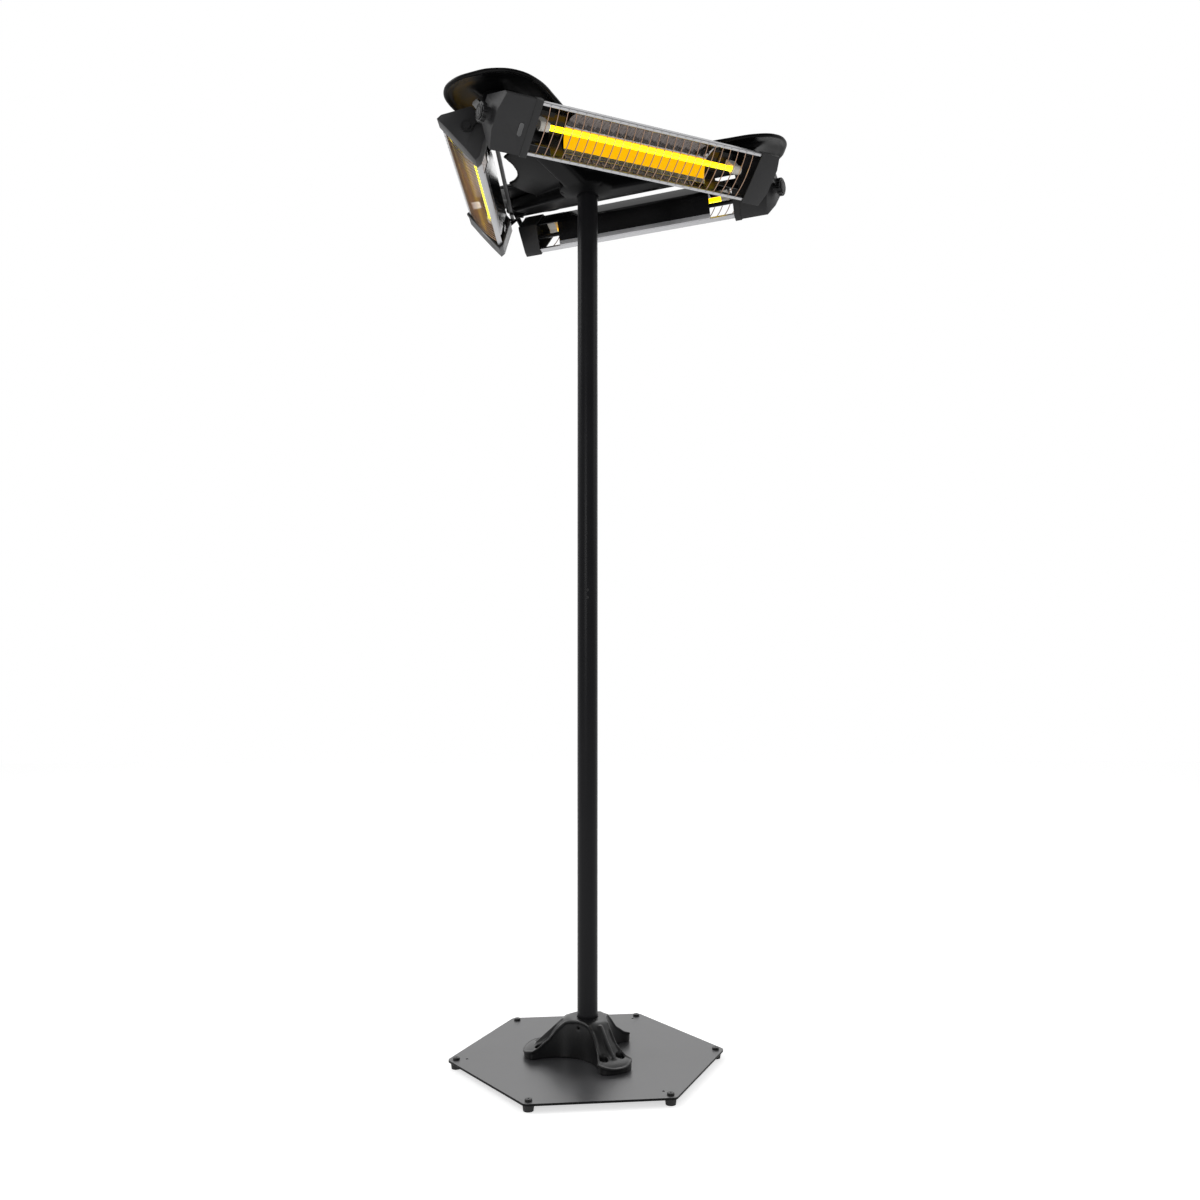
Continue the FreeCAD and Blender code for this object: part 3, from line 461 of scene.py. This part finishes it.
def rimOutline():
    c = castFoot
    edge = nicheEdge()
    last = math.atan2(edge[-1][1] / c["toeHalfWidth"], (edge[-1][0] - c["toeCentre"]) / c["toeLength"])
    tip = []
    for step in range(1, 2 * c["toeSteps"]):
        turn = last * (1 - step / c["toeSteps"])
        tip.append((c["toeCentre"] + (c["toeLength"] - c["beadInset"]) * math.cos(turn),
                    (c["toeHalfWidth"] - c["beadInset"]) * math.sin(turn)))
    loop = edge + tip + [(u, -v) for u, v in reversed(edge)]
    points = []
    for toe in c["toeAngles"]:
        spin = Matrix.Rotation(math.radians(toe), 4, "Z")
        for u, v in reversed(loop[:-1]):
            height = c["plateTop"] + bellHeight(math.hypot(u, v)) - c["beadSink"]
            points.append(spin @ Vector((u, v, height)) * mm)
    return points


def rimBead():
    points = rimOutline()
    clearSelection()
    bpy.ops.curve.primitive_nurbs_path_add()
    bead = newest("rimBead")
    bead.data.splines.clear()
    line = bead.data.splines.new("POLY")
    line.points.add(len(points) - 1)
    for point, place in zip(line.points, points):
        point.co = (*place, 1)
    line.use_cyclic_u = True
    bead.data.bevel_depth = castFoot["beadRadius"] * mm
    bead.data.bevel_resolution = castFoot["beadSteps"]
    bpy.ops.object.convert(target="MESH")
    return bpy.context.object


def roundToes(foot):
    for toe in castFoot["toeAngles"]:
        spin = Matrix.Rotation(math.radians(toe), 4, "Z")
        back = spin.inverted()
        for vertex in foot.data.vertices:
            u, v, height = (back @ vertex.co) / mm
            share = toeShare(u, v)
            if u > castFoot["toeCentre"] and share > 1:
                pull = 1 / math.sqrt(share)
                u = castFoot["toeCentre"] + (u - castFoot["toeCentre"]) * pull
                vertex.co = spin @ (Vector((u, v * pull, height)) * mm)


def toeHollow(angle, side):
    c = castFoot
    clearSelection()
    bpy.ops.mesh.primitive_uv_sphere_add(segments=c["hollowSegments"], ring_count=c["hollowRings"], radius=1.0)
    size = [s * mm for s in c["hollowSize"]]
    spot = Vector((c["hollowReach"], side * c["hollowSide"], c["plateTop"] + c["hollowHeight"])) * mm
    lean = Matrix.Rotation(math.radians(c["hollowSlope"]), 4, "Y")
    return placeShape(newest("toeHollow"), Matrix.Rotation(math.radians(angle), 4, "Z")
                      @ Matrix.Translation(spot) @ lean @ Matrix.Diagonal((*size, 1)))


def makeCastFoot():
    foot = copyOfNode("foot_casting", "castFoot")
    hollows = [toeHollow(angle, side) for angle in castFoot["toeAngles"] for side in (-1, 1)]
    cutAway(foot, joinInto(hollows[0], hollows[1:]))
    castSkin(foot, castFoot["skin"])
    roundToes(foot)
    foot = joinInto(foot, [rimBead()])
    castSkin(foot, castFoot["skin"])
    castEdges(foot, castFoot["softening"])
    finishPiece(foot, castCoat, "stand", ["foot_casting"], castFoot["smoothAngle"])


# Head casting: arms, webs and collar run into each other with wide cast radii
headCasting = {"skin": 2.6, "softening": 9, "smoothAngle": 70}


def makeHeadCasting():
    casting = copyOfNode("head_hub", "headCasting")
    castSkin(casting, headCasting["skin"])
    castEdges(casting, headCasting["softening"])
    finishPiece(casting, headCoat, "stand", ["head_hub"], headCasting["smoothAngle"])


# Petals: leaf-shaped mouldings with a rolled rim, and a pocket underneath that the arm's ridge splits
petalLeaf = {
    "start": 72.0, "length": 394.0, "halfWidth": 113.0, "centreShare": 0.62,
    "along": (0.0, 0.07, 0.24, 0.44, 0.64, 0.80, 0.915, 0.985, 1.0),
    "across": (0.0, 0.45, 0.73, 0.90, 0.99, 1.0, 0.83, 0.45, 0.0),
    "outlinePoints": 120, "curveSteps": 24, "fillSpan": 30, "rimHeight": 1.3,
    "topRings": ((0.998, 3.4), (0.985, 5.2), (0.965, 5.6), (0.94, 5.0), (0.90, 4.8), (0.86, 6.2),
                 (0.81, 9.6), (0.74, 12.2), (0.62, 14.2), (0.46, 15.4), (0.28, 16.0), (0.12, 16.0)),
    "underRings": ((0.998, -0.8), (0.988, -2.5), (0.97, -3.1), (0.95, -2.5), (0.935, -0.6), (0.91, 1.4),
                   (0.87, 2.2), (0.82, 5.4), (0.75, 8.2), (0.66, 9.8), (0.55, 10.8), (0.42, 11.4),
                   (0.28, 11.6), (0.14, 11.6)),
    "ridgeHalfWidth": 26.0, "ridgeFade": 20.0, "ridgeEnd": 390.0, "ridgeHeight": 0.4, "ridgeFacing": -0.2,
    "ventAlong": 330.0, "ventAcross": 99.0, "ventRadius": 3.0, "ventDepth": 40.0, "ventSides": 24,
    "smoothAngle": 50,
}
tiny = 1e-9


def leafCurve():
    p = petalLeaf
    right = [Vector((p["start"] + p["length"] * a, p["halfWidth"] * b, 0))
             for a, b in zip(p["along"], p["across"])]
    loop = right + [Vector((place.x, -place.y, 0)) for place in reversed(right[1:-1])]
    clearSelection()
    bpy.ops.curve.primitive_bezier_circle_add()
    curve = bpy.context.object
    curve.data.splines.clear()
    spline = curve.data.splines.new("BEZIER")
    spline.bezier_points.add(len(loop) - 1)
    for point, place in zip(spline.bezier_points, loop):
        point.co = place
        point.handle_left_type = point.handle_right_type = "AUTO"
    spline.use_cyclic_u = True
    spline.resolution_u = p["curveSteps"]
    bpy.ops.object.convert(target="MESH")
    dense = [v.co.copy() for v in bpy.context.object.data.vertices]
    bpy.data.objects.remove(bpy.context.object)
    return dense


def leafOutline(count):
    dense = leafCurve()
    lengths = [0.0]
    for a, b in zip(dense, dense[1:] + dense[:1]):
        lengths.append(lengths[-1] + (b - a).length)
    dense.append(dense[0])
    even, at = [], 0
    for i in range(count):
        want = lengths[-1] * i / count
        while lengths[at + 1] < want:
            at += 1
        share = (want - lengths[at]) / max(lengths[at + 1] - lengths[at], tiny)
        even.append(dense[at].lerp(dense[at + 1], share) * mm)
    return even


def growRings(rings):
    centre = ((petalLeaf["start"] + petalLeaf["length"] * petalLeaf["centreShare"]) * mm, 0, 0)
    size, height = 1.0, petalLeaf["rimHeight"]
    for share, level in rings:
        bpy.ops.mesh.extrude_region_move()
        bpy.ops.transform.resize(value=(share / size, share / size, 1), center_override=centre)
        bpy.ops.transform.translate(value=(0, 0, (level - height) * mm))
        size, height = share, level
    bpy.ops.mesh.fill_grid(span=petalLeaf["fillSpan"])


def lowerRidge(leaf):
    p = petalLeaf
    for vertex in leaf.data.vertices:
        x, y, z = (c / mm for c in vertex.co)
        if vertex.normal.z < p["ridgeFacing"] and z > p["ridgeHeight"]:
            side = min(max((abs(y) - p["ridgeHalfWidth"]) / p["ridgeFade"], 0), 1)
            tip = min(max((x - p["ridgeEnd"]) / p["ridgeFade"], 0), 1)
            lift = max(side, tip)
            lift = lift * lift * (3 - 2 * lift)
            vertex.co.z = (p["ridgeHeight"] + (z - p["ridgeHeight"]) * lift) * mm


def drillVents(leaf):
    p = petalLeaf
    for side in (-1, 1):
        clearSelection()
        bpy.ops.mesh.primitive_cylinder_add(
            vertices=p["ventSides"], radius=p["ventRadius"] * mm, depth=p["ventDepth"] * mm,
            location=(p["ventAlong"] * mm, side * p["ventAcross"] * mm, 0))
        cutAway(leaf, newest("ventDrill"))


def makePetalShape():
    count = petalLeaf["outlinePoints"]
    outline = leafOutline(count)
    clearSelection()
    bpy.ops.mesh.primitive_circle_add(vertices=count, radius=1.0, fill_type="NOTHING")
    leaf = newest("petalShape")
    for vertex, place in zip(leaf.data.vertices, outline):
        vertex.co = place + Vector((0, 0, petalLeaf["rimHeight"] * mm))
    startEdit()
    growRings(petalLeaf["topRings"])
    endEdit()
    for vertex in leaf.data.vertices:
        vertex.select = vertex.index < count
    for edge in leaf.data.edges:
        edge.select = all(i < count for i in edge.vertices)
    for face in leaf.data.polygons:
        face.select = False
    bpy.ops.object.mode_set(mode="EDIT")
    growRings(petalLeaf["underRings"])
    endClosedEdit()
    lowerRidge(leaf)
    applyModifier(leaf, "SUBSURF", {"levels": 1, "render_levels": 1})
    drillVents(leaf)
    return leaf


def petalMatrix(angle):
    return (Matrix.Translation((0, 0, head["petalPlane"])) @ Matrix.Rotation(math.radians(angle), 4, "Z")
            @ Matrix.Rotation(math.radians(-head["petalSlope"]), 4, "Y"))


def makePetals():
    shape = makePetalShape()
    for number, angle in enumerate(head["petalAngles"], 1):
        leaf = copyPlaced(shape, "petalLeaf%d" % number, petalMatrix(angle))
        finishPiece(leaf, petalSatin, "stand", ["petal_%d" % number], petalLeaf["smoothAngle"])
    bpy.data.objects.remove(shape)


# Heater trough: a rolled sheet with round corners, with straps across its open ends and a flange on its lower lip
housingShell = {
    "length": 424.0, "wall": 1.6, "lipHalfHeight": 55.0, "lipDepth": 11.0, "waistDepth": 13.0,
    "backHalfHeight": 22.4, "backDepth": 62.2, "cornerRadius": 13.0, "cornerSteps": 7,
    "strapInner": 210.0, "strapOuter": 275.0, "strapHalfWidth": 22.0, "strapThickness": 3.0,
    "strapBevel": 0.7, "strapBevelSteps": 2,
    "sideStrap": (40.5, -36.0, 56.5), "sideStrapHalfWidth": 5.0,       # mm, mm, degrees
    "flange": ((56.0, -11.4), (56.0, -13.4), (50.6, -21.6)), "flangeWall": 0.5,
    "flangeRadius": 1.0, "flangeSteps": 3, "smoothAngle": 40,
}


def roundedPath(points, radius, steps):
    longest = modelling["cornerShare"]
    path = [points[0]]
    for before, corner, after in zip(points, points[1:], points[2:]):
        intoCorner = (before - corner).normalized()
        outOfCorner = (after - corner).normalized()
        half = intoCorner.angle(outOfCorner) / 2
        run = min(radius / math.tan(half), (before - corner).length * longest, (after - corner).length * longest)
        first, last = corner + intoCorner * run, corner + outOfCorner * run
        for step in range(steps + 1):
            share = step / steps
            path.append(first.lerp(corner, share).lerp(corner.lerp(last, share), share))
    return path + [points[-1]]


def noWave(share, place):
    return Vector((0, 0))


def sheetAlong(name, length, section, alongCount, wave, thickness):
    clearSelection()
    bpy.ops.mesh.primitive_grid_add(x_subdivisions=alongCount, y_subdivisions=len(section) - 1, size=1)
    sheet = newest(name)
    for vertex in sheet.data.vertices:
        place = section[round((vertex.co.y + 0.5) * (len(section) - 1))]
        share = vertex.co.x + 0.5
        lift = wave(share, place)
        vertex.co = (length * (share - 0.5) * mm, (place.x + lift.x) * mm, (place.y + lift.y) * mm)
    applyModifier(sheet, "SOLIDIFY", {"thickness": thickness * mm, "offset": 0.0})
    return sheet


def housingSection():
    h = housingShell
    upper = [Vector((h["lipHalfHeight"], -h["lipDepth"])), Vector((h["lipHalfHeight"], -h["waistDepth"])),
             Vector((h["backHalfHeight"], -h["backDepth"]))]
    lower = [Vector((-p.x, p.y)) for p in reversed(upper)]
    return roundedPath(upper + lower, h["cornerRadius"], h["cornerSteps"])


def lampStrap(side, y, z, lean, halfWidth):
    h = housingShell
    clearSelection()
    bpy.ops.mesh.primitive_cube_add(size=1)
    size = Vector((h["strapOuter"] - h["strapInner"], halfWidth * 2, h["strapThickness"])) * mm
    spot = Vector((side * (h["strapInner"] + h["strapOuter"]) / 2, y, z)) * mm
    strap = placeShape(newest("lampStrap"), Matrix.Translation(spot)
                       @ Matrix.Rotation(math.radians(lean), 4, "X") @ Matrix.Diagonal((*size, 1)))
    applyModifier(strap, "BEVEL", {"width": h["strapBevel"] * mm, "segments": h["strapBevelSteps"]})
    return strap


def makeHousingShape():
    h = housingShell
    shell = sheetAlong("housingShape", h["length"], housingSection(), 1, noWave, h["wall"])
    out, back, lean = h["sideStrap"]
    spots = [(0, -h["backDepth"] + h["strapThickness"] / 2, 0, h["strapHalfWidth"]),
             (out, back, lean, h["sideStrapHalfWidth"]), (-out, back, -lean, h["sideStrapHalfWidth"])]
    straps = [lampStrap(side, *spot) for side in (-1, 1) for spot in spots]
    return joinInto(shell, straps)


def makeFlangeShape():
    h = housingShell
    section = roundedPath([Vector((-y, z)) for y, z in h["flange"]], h["flangeRadius"], h["flangeSteps"])
    return sheetAlong("flangeShape", h["length"], section, 1, noWave, h["flangeWall"])


# Reflector: two leaning parabolas folded into one sheet with cross flutes, and a wall from each edge to the lip
reflectorFold = {
    "length": 360.0, "wall": 0.7, "lampDepth": 28.0, "focus": 28.6, "axisLean": 22.0, "foldEnd": 82.0,
    "foldSteps": 16, "wallFoot": (45.5, 26.0), "wallTop": (49.6, 11.5), "wallRadius": 3.0, "wallSteps": 4,
    "fluteCount": 16, "fluteDepth": 0.8, "fluteSharpness": 0.3, "stepsPerFlute": 12, "smoothAngle": 40,
}


def foldSection():
    r = reflectorFold
    lower = []
    for step in range(r["foldSteps"] + 1):
        turn = math.radians(r["foldEnd"] * step / r["foldSteps"])
        reach = 2 * r["focus"] / (1 + math.cos(turn - math.radians(r["axisLean"])))
        lower.append(Vector((-math.sin(turn) * reach, -r["lampDepth"] - math.cos(turn) * reach)))
    return [Vector((-p.x, p.y)) for p in reversed(lower[1:])] + lower


def wallSection(side):
    r = reflectorFold
    corners = [foldSection()[-1]] + [Vector((-y, -z)) for y, z in (r["wallFoot"], r["wallTop"])]
    path = roundedPath(corners, r["wallRadius"], r["wallSteps"])
    return [Vector((-side * p.x, p.y)) for p in path]


def reflectorFlute(share, place):
    r = reflectorFold
    swell = r["fluteDepth"] * abs(math.sin(share * r["fluteCount"] * math.pi)) ** r["fluteSharpness"]
    return Vector((-place.x, -r["lampDepth"] - place.y)).normalized() * swell


def makeReflectorShapes():
    r = reflectorFold
    steps = r["fluteCount"] * r["stepsPerFlute"]
    fold = sheetAlong("foldShape", r["length"], foldSection(), steps, reflectorFlute, r["wall"])
    walls = [sheetAlong("wallShape", r["length"], wallSection(side), steps, reflectorFlute, r["wall"])
             for side in (1, -1)]
    return fold, joinInto(walls[0], walls[1:])


# Rivets where the guard wires meet the rails
wireRivet = {
    "count": 26, "guardLength": 549.0, "side": 52.6, "radius": 1.7, "rise": 0.9, "sink": 0.1,
    "segments": 10, "rings": 6,
}


def makeRivetShape():
    w = wireRivet
    clearSelection()
    pitch = w["guardLength"] / (w["count"] + 1)
    bpy.ops.mesh.primitive_uv_sphere_add(segments=w["segments"], ring_count=w["rings"], radius=w["radius"] * mm)
    rivet = newest("rivetShape")
    startEdit()
    bpy.ops.mesh.bisect(plane_co=(0, 0, 0), plane_no=(0, 0, 1), clear_inner=True, use_fill=True)
    bpy.ops.mesh.select_all(action="SELECT")
    bpy.ops.transform.resize(value=(1, 1, w["rise"] / w["radius"]))
    bpy.ops.transform.translate(value=((-w["guardLength"] / 2 + pitch) * mm, w["side"] * mm, -w["sink"] * mm))
    endEdit()
    applyModifier(rivet, "ARRAY", {"count": w["count"], "use_relative_offset": False,
                                   "use_constant_offset": True,
                                   "constant_offset_displace": (pitch * mm, 0, 0)})
    other = copyPlaced(rivet, "rivetShapeLow", Matrix.Translation((0, -2 * w["side"] * mm, 0)))
    return joinInto(rivet, [other])


# Bare capsule lens over the recess of the control cover
coverLens = {
    "x": -305.5, "y": -6.0, "face": 2.4, "length": 29.0, "width": 10.2, "thickness": 0.9, "sides": 40,
    "steps": ((0.6, 0.25), (0.9, -0.35)),                    # mm inwards and mm outwards, for rim and face
}


# The selected end face is stepped inwards, and each step moved along z
def insetSteps(steps):
    for inset, move in steps:
        bpy.ops.mesh.inset(thickness=inset * mm)
        bpy.ops.transform.translate(value=(0, 0, move * mm))


def makeLensShape():
    c = coverLens
    clearSelection()
    bpy.ops.mesh.primitive_circle_add(vertices=c["sides"], radius=c["width"] / 2 * mm, fill_type="NGON")
    lens = newest("lensShape")
    for vertex in lens.data.vertices:
        vertex.co.y += math.copysign((c["length"] - c["width"]) / 2 * mm, vertex.co.y)
    startEdit()
    bpy.ops.mesh.extrude_region_move(TRANSFORM_OT_translate={"value": (0, 0, c["thickness"] * mm)})
    insetSteps(c["steps"])
    endClosedEdit()
    return placeShape(lens, Matrix.Translation((c["x"] * mm, c["y"] * mm, c["face"] * mm)))


# Gloss cap with rings in the middle of the tilt knob
knobCap = {
    "face": 386.6, "depth": 30.0, "radius": 15.6, "rise": 1.6, "sides": 48,
    "steps": ((0.5, 0.3), (1.6, 0.0), (0.4, -0.5), (1.5, 0.0), (0.4, 0.5), (1.6, 0.0), (0.4, -0.5),
              (1.4, 0.0), (0.4, 0.7), (2.0, 0.3)),           # mm inwards and mm outwards
}


def makeKnobCapShape():
    k = knobCap
    clearSelection()
    bpy.ops.mesh.primitive_circle_add(vertices=k["sides"], radius=k["radius"] * mm, fill_type="NGON")
    cap = newest("knobCapShape")
    startEdit()
    bpy.ops.mesh.extrude_region_move(TRANSFORM_OT_translate={"value": (0, 0, k["rise"] * mm)})
    insetSteps(k["steps"])
    endClosedEdit()
    return placeShape(cap, Matrix.Translation((-k["face"] * mm, 0, -k["depth"] * mm))
                      @ Matrix.Rotation(math.radians(-90), 4, "Y"))


# Moulded caps and the plate get the small radius that a tool or a press leaves on every edge
softEdge = {"cap": 1.4, "plate": 0.7, "segments": 2, "flatAngle": 2, "edgeAngle": 32, "capSmoothAngle": 40}


def softenedNode(nodeName, pieceName, width):
    piece = copyOfNode(nodeName, pieceName)
    startEdit()
    bpy.ops.mesh.dissolve_limited(angle_limit=math.radians(softEdge["flatAngle"]))
    endEdit()
    applyModifier(piece, "BEVEL", {"width": width * mm, "segments": softEdge["segments"],
                                   "limit_method": "ANGLE",
                                   "angle_limit": math.radians(softEdge["edgeAngle"])})
    return piece


# Ground plate: satin on its top and bottom, with a darker coat on its upright sides as painted shade
groundPlate = {"smoothAngle": 8, "uprightFacing": 0.2}


def makeGroundPlate():
    plate = softenedNode("base_plate", "groundPlate", softEdge["plate"])
    finishPiece(plate, plateCoat, "stand", ["base_plate"], groundPlate["smoothAngle"])
    plate.data.materials.append(plateSideShadeCoat)
    # Upright faces take the darker coat: painted shade on the plate's sides
    for face in plate.data.polygons:
        if abs(face.normal.z) < groundPlate["uprightFacing"]:
            face.material_index = 1


def makeHeaters():
    troughAngle, foldAngle = housingShell["smoothAngle"], reflectorFold["smoothAngle"]
    plainAngle = modelling["plainAngle"]
    housing, flange = makeHousingShape(), makeFlangeShape()
    fold, walls = makeReflectorShapes()
    rivets, lens, cap = makeRivetShape(), makeLensShape(), makeKnobCapShape()
    # Shape, name of its pieces, finish, body, slot, nodes that they stand for, angle of smooth shading
    dressing = (
        (housing, "housingShell", housingGloss, "heater", "black_sheet", ["housing"], troughAngle),
        (flange, "rolledFlange", railAluminium, "heater", "bright_reflector", [], troughAngle),
        (fold, "reflectorFold", reflectorSheet, "heater", "bright_reflector", ["reflector"], foldAngle),
        # The walls take the darker copy of the reflector metal: painted shade
        (walls, "reflectorWalls", wallShadedSheet, "heater", "bright_reflector", [], foldAngle),
        (rivets, "wireRivets", railAluminium, "heater", "bright_wire", [], plainAngle),
        (lens, "coverLens", lensGloss, "heater", "gloss_black", [], plainAngle),
        (cap, "knobCap", knobGloss, "knob", "zinc_steel", [], plainAngle),
    )
    for number, turn in enumerate(head["turns"], 1):
        for shape, name, finish, body, slotName, stoodFor, angle in dressing:
            piece = copyPlaced(shape, "%s%d" % (name, number), heaterAxes(turn))
            finishPiece(piece, finish, "%s_%d" % (body, number),
                        ["%s_%d" % (node, number) for node in stoodFor], angle)
        for name, node in (("plainCap", "end_cap"), ("controlCap", "control_cover")):
            nodeName = "%s_%d" % (node, number)
            piece = softenedNode(nodeName, "%s%d" % (name, number), softEdge["cap"])
            finishPiece(piece, coverAbs, "heater_%d" % number, [nodeName],
                        softEdge["capSmoothAngle"])
    for row in dressing:
        bpy.data.objects.remove(row[0])


makeGroundPlate()
print("ground plate made")
makeCastFoot()
print("cast foot made")
makeHeadCasting()
print("head casting made")
makePetals()
print("petals made")
makeHeaters()
print("heaters dressed")


# Studio: white paper floor, white backdrop, four soft boxes
studio = {
    "floorSide": 12.0, "floorDrop": 0.2, "paper": (0.8, 0.8, 0.8, 1.0), "floorGlow": 0.58,
    "white": (1.0, 1.0, 1.0, 1.0), "black": (0.0, 0.0, 0.0, 1.0),
    "backStrength": 0.4, "frontStrength": 0.6, "lightSpan": (-0.5, 0.6),      # what lights the part
    "backSheen": 1.0, "frontSheen": 0.15, "sheenSpan": (-0.3, 0.5),           # what the part reflects
}
# Place, target and size in m, and power in W
softBoxes = {
    "keyBox": ((-3.0, 0.2, 3.4), (0, 0, 1.0), (1.6, 2.4), 40.0),
    "fillBox": ((3.2, -0.4, 2.6), (0, 0, 1.0), (1.6, 2.4), 14.0),
    "rimBox": ((0.4, 3.2, 3.0), (0, 0, 1.4), (2.4, 1.6), 22.0),
    "faceBox": ((-1.2, -3.0, 1.4), (0, 0, 1.9), (0.8, 0.8), 12.0),
}


def eitherRay(tree, ray, first, second):
    rays = {0: ray.outputs[first], 1: ray.outputs[second]}
    return addNode(tree, "ShaderNodeMath", {"operation": "MAXIMUM"}, rays).outputs["Value"]


def mixShaders(tree, factor, first, second):
    return addNode(tree, "ShaderNodeMixShader", {}, {0: factor, 1: first, 2: second}).outputs["Shader"]


def makeFloor():
    bpy.ops.object.select_all(action="DESELECT")
    bpy.ops.mesh.primitive_plane_add(size=studio["floorSide"], location=(0, 0, -studio["floorDrop"] * mm))
    floor = bpy.context.object
    floor.name = "studioFloor"
    material = bpy.data.materials.new("studioPaper")
    material.use_nodes = True
    tree = material.node_tree
    tree.nodes.clear()
    paper = addNode(tree, "ShaderNodeBsdfDiffuse", {"Color": studio["paper"]})
    glow = addNode(tree, "ShaderNodeEmission", {"Color": studio["white"], "Strength": studio["floorGlow"]})
    dark = addNode(tree, "ShaderNodeEmission", {"Color": studio["black"], "Strength": 0.0})
    ray = addNode(tree, "ShaderNodeLightPath")
    seen = eitherRay(tree, ray, "Is Camera Ray", "Is Glossy Ray")
    shown = mixShaders(tree, seen, dark.outputs["Emission"], glow.outputs["Emission"])
    both = addNode(tree, "ShaderNodeAddShader", {}, {0: paper.outputs["BSDF"], 1: shown})
    addNode(tree, "ShaderNodeOutputMaterial", {}, {"Surface": both.outputs["Shader"]})
    dress(floor, material)


# A white sky whose strength runs from front to back
def skyAlong(tree, depth, span, front, back):
    level = addNode(tree, "ShaderNodeMapRange", {"From Min": span[0], "From Max": span[1], "To Min": front,
                                                 "To Max": back}, {"Value": depth})
    sky = addNode(tree, "ShaderNodeBackground", {"Color": studio["white"]}, {"Strength": level.outputs["Result"]})
    return sky.outputs["Background"]


def makeWorld():
    s = studio
    world = bpy.data.worlds.new("studioWorld")
    bpy.context.scene.world = world
    world.use_nodes = True
    tree = world.node_tree
    tree.nodes.clear()
    ray = addNode(tree, "ShaderNodeLightPath")
    seen = eitherRay(tree, ray, "Is Camera Ray", "Is Transmission Ray")
    where = addNode(tree, "ShaderNodeTexCoord").outputs["Generated"]
    depth = addNode(tree, "ShaderNodeSeparateXYZ", {}, {"Vector": where}).outputs["Y"]
    light = skyAlong(tree, depth, s["lightSpan"], s["frontStrength"], s["backStrength"])
    sheen = skyAlong(tree, depth, s["sheenSpan"], s["frontSheen"], s["backSheen"])
    white = addNode(tree, "ShaderNodeBackground", {"Color": s["white"], "Strength": 1.0})
    unseen = mixShaders(tree, ray.outputs["Is Glossy Ray"], light, sheen)
    mixed = mixShaders(tree, seen, unseen, white.outputs["Background"])
    addNode(tree, "ShaderNodeOutputWorld", {}, {"Surface": mixed})


def aim(obj, place, direction):
    bpy.context.scene.collection.objects.link(obj)
    obj.location = place
    obj.rotation_mode = "QUATERNION"
    obj.rotation_quaternion = direction.to_track_quat("-Z", "Y")


def makeSoftBox(name, place, target, size, power):
    light = bpy.data.lights.new(name, "AREA")
    light.shape = "RECTANGLE"
    light.size, light.size_y = size
    light.energy = power
    aim(bpy.data.objects.new(name, light), place, Vector(target) - Vector(place))


def makeCamera():
    camera = bpy.data.cameras.new("photoCamera")
    camera.sensor_width = shot["sensor"]
    camera.lens = shot["focalPixels"] / shot["imageSide"] * shot["sensor"]
    camera.clip_end = shot["clipEnd"]
    eye = bpy.data.objects.new("photoCamera", camera)
    level = math.cos(shot["pitch"])
    aim(eye, shot["place"], Vector((math.sin(shot["yaw"]) * level, math.cos(shot["yaw"]) * level,
                                    math.sin(shot["pitch"]))))
    bpy.context.scene.camera = eye


makeFloor()
makeWorld()
for name, setting in softBoxes.items():
    makeSoftBox(name, *setting)
makeCamera()
bpy.context.scene.view_settings.view_transform = "Standard"
print("studio and camera set")
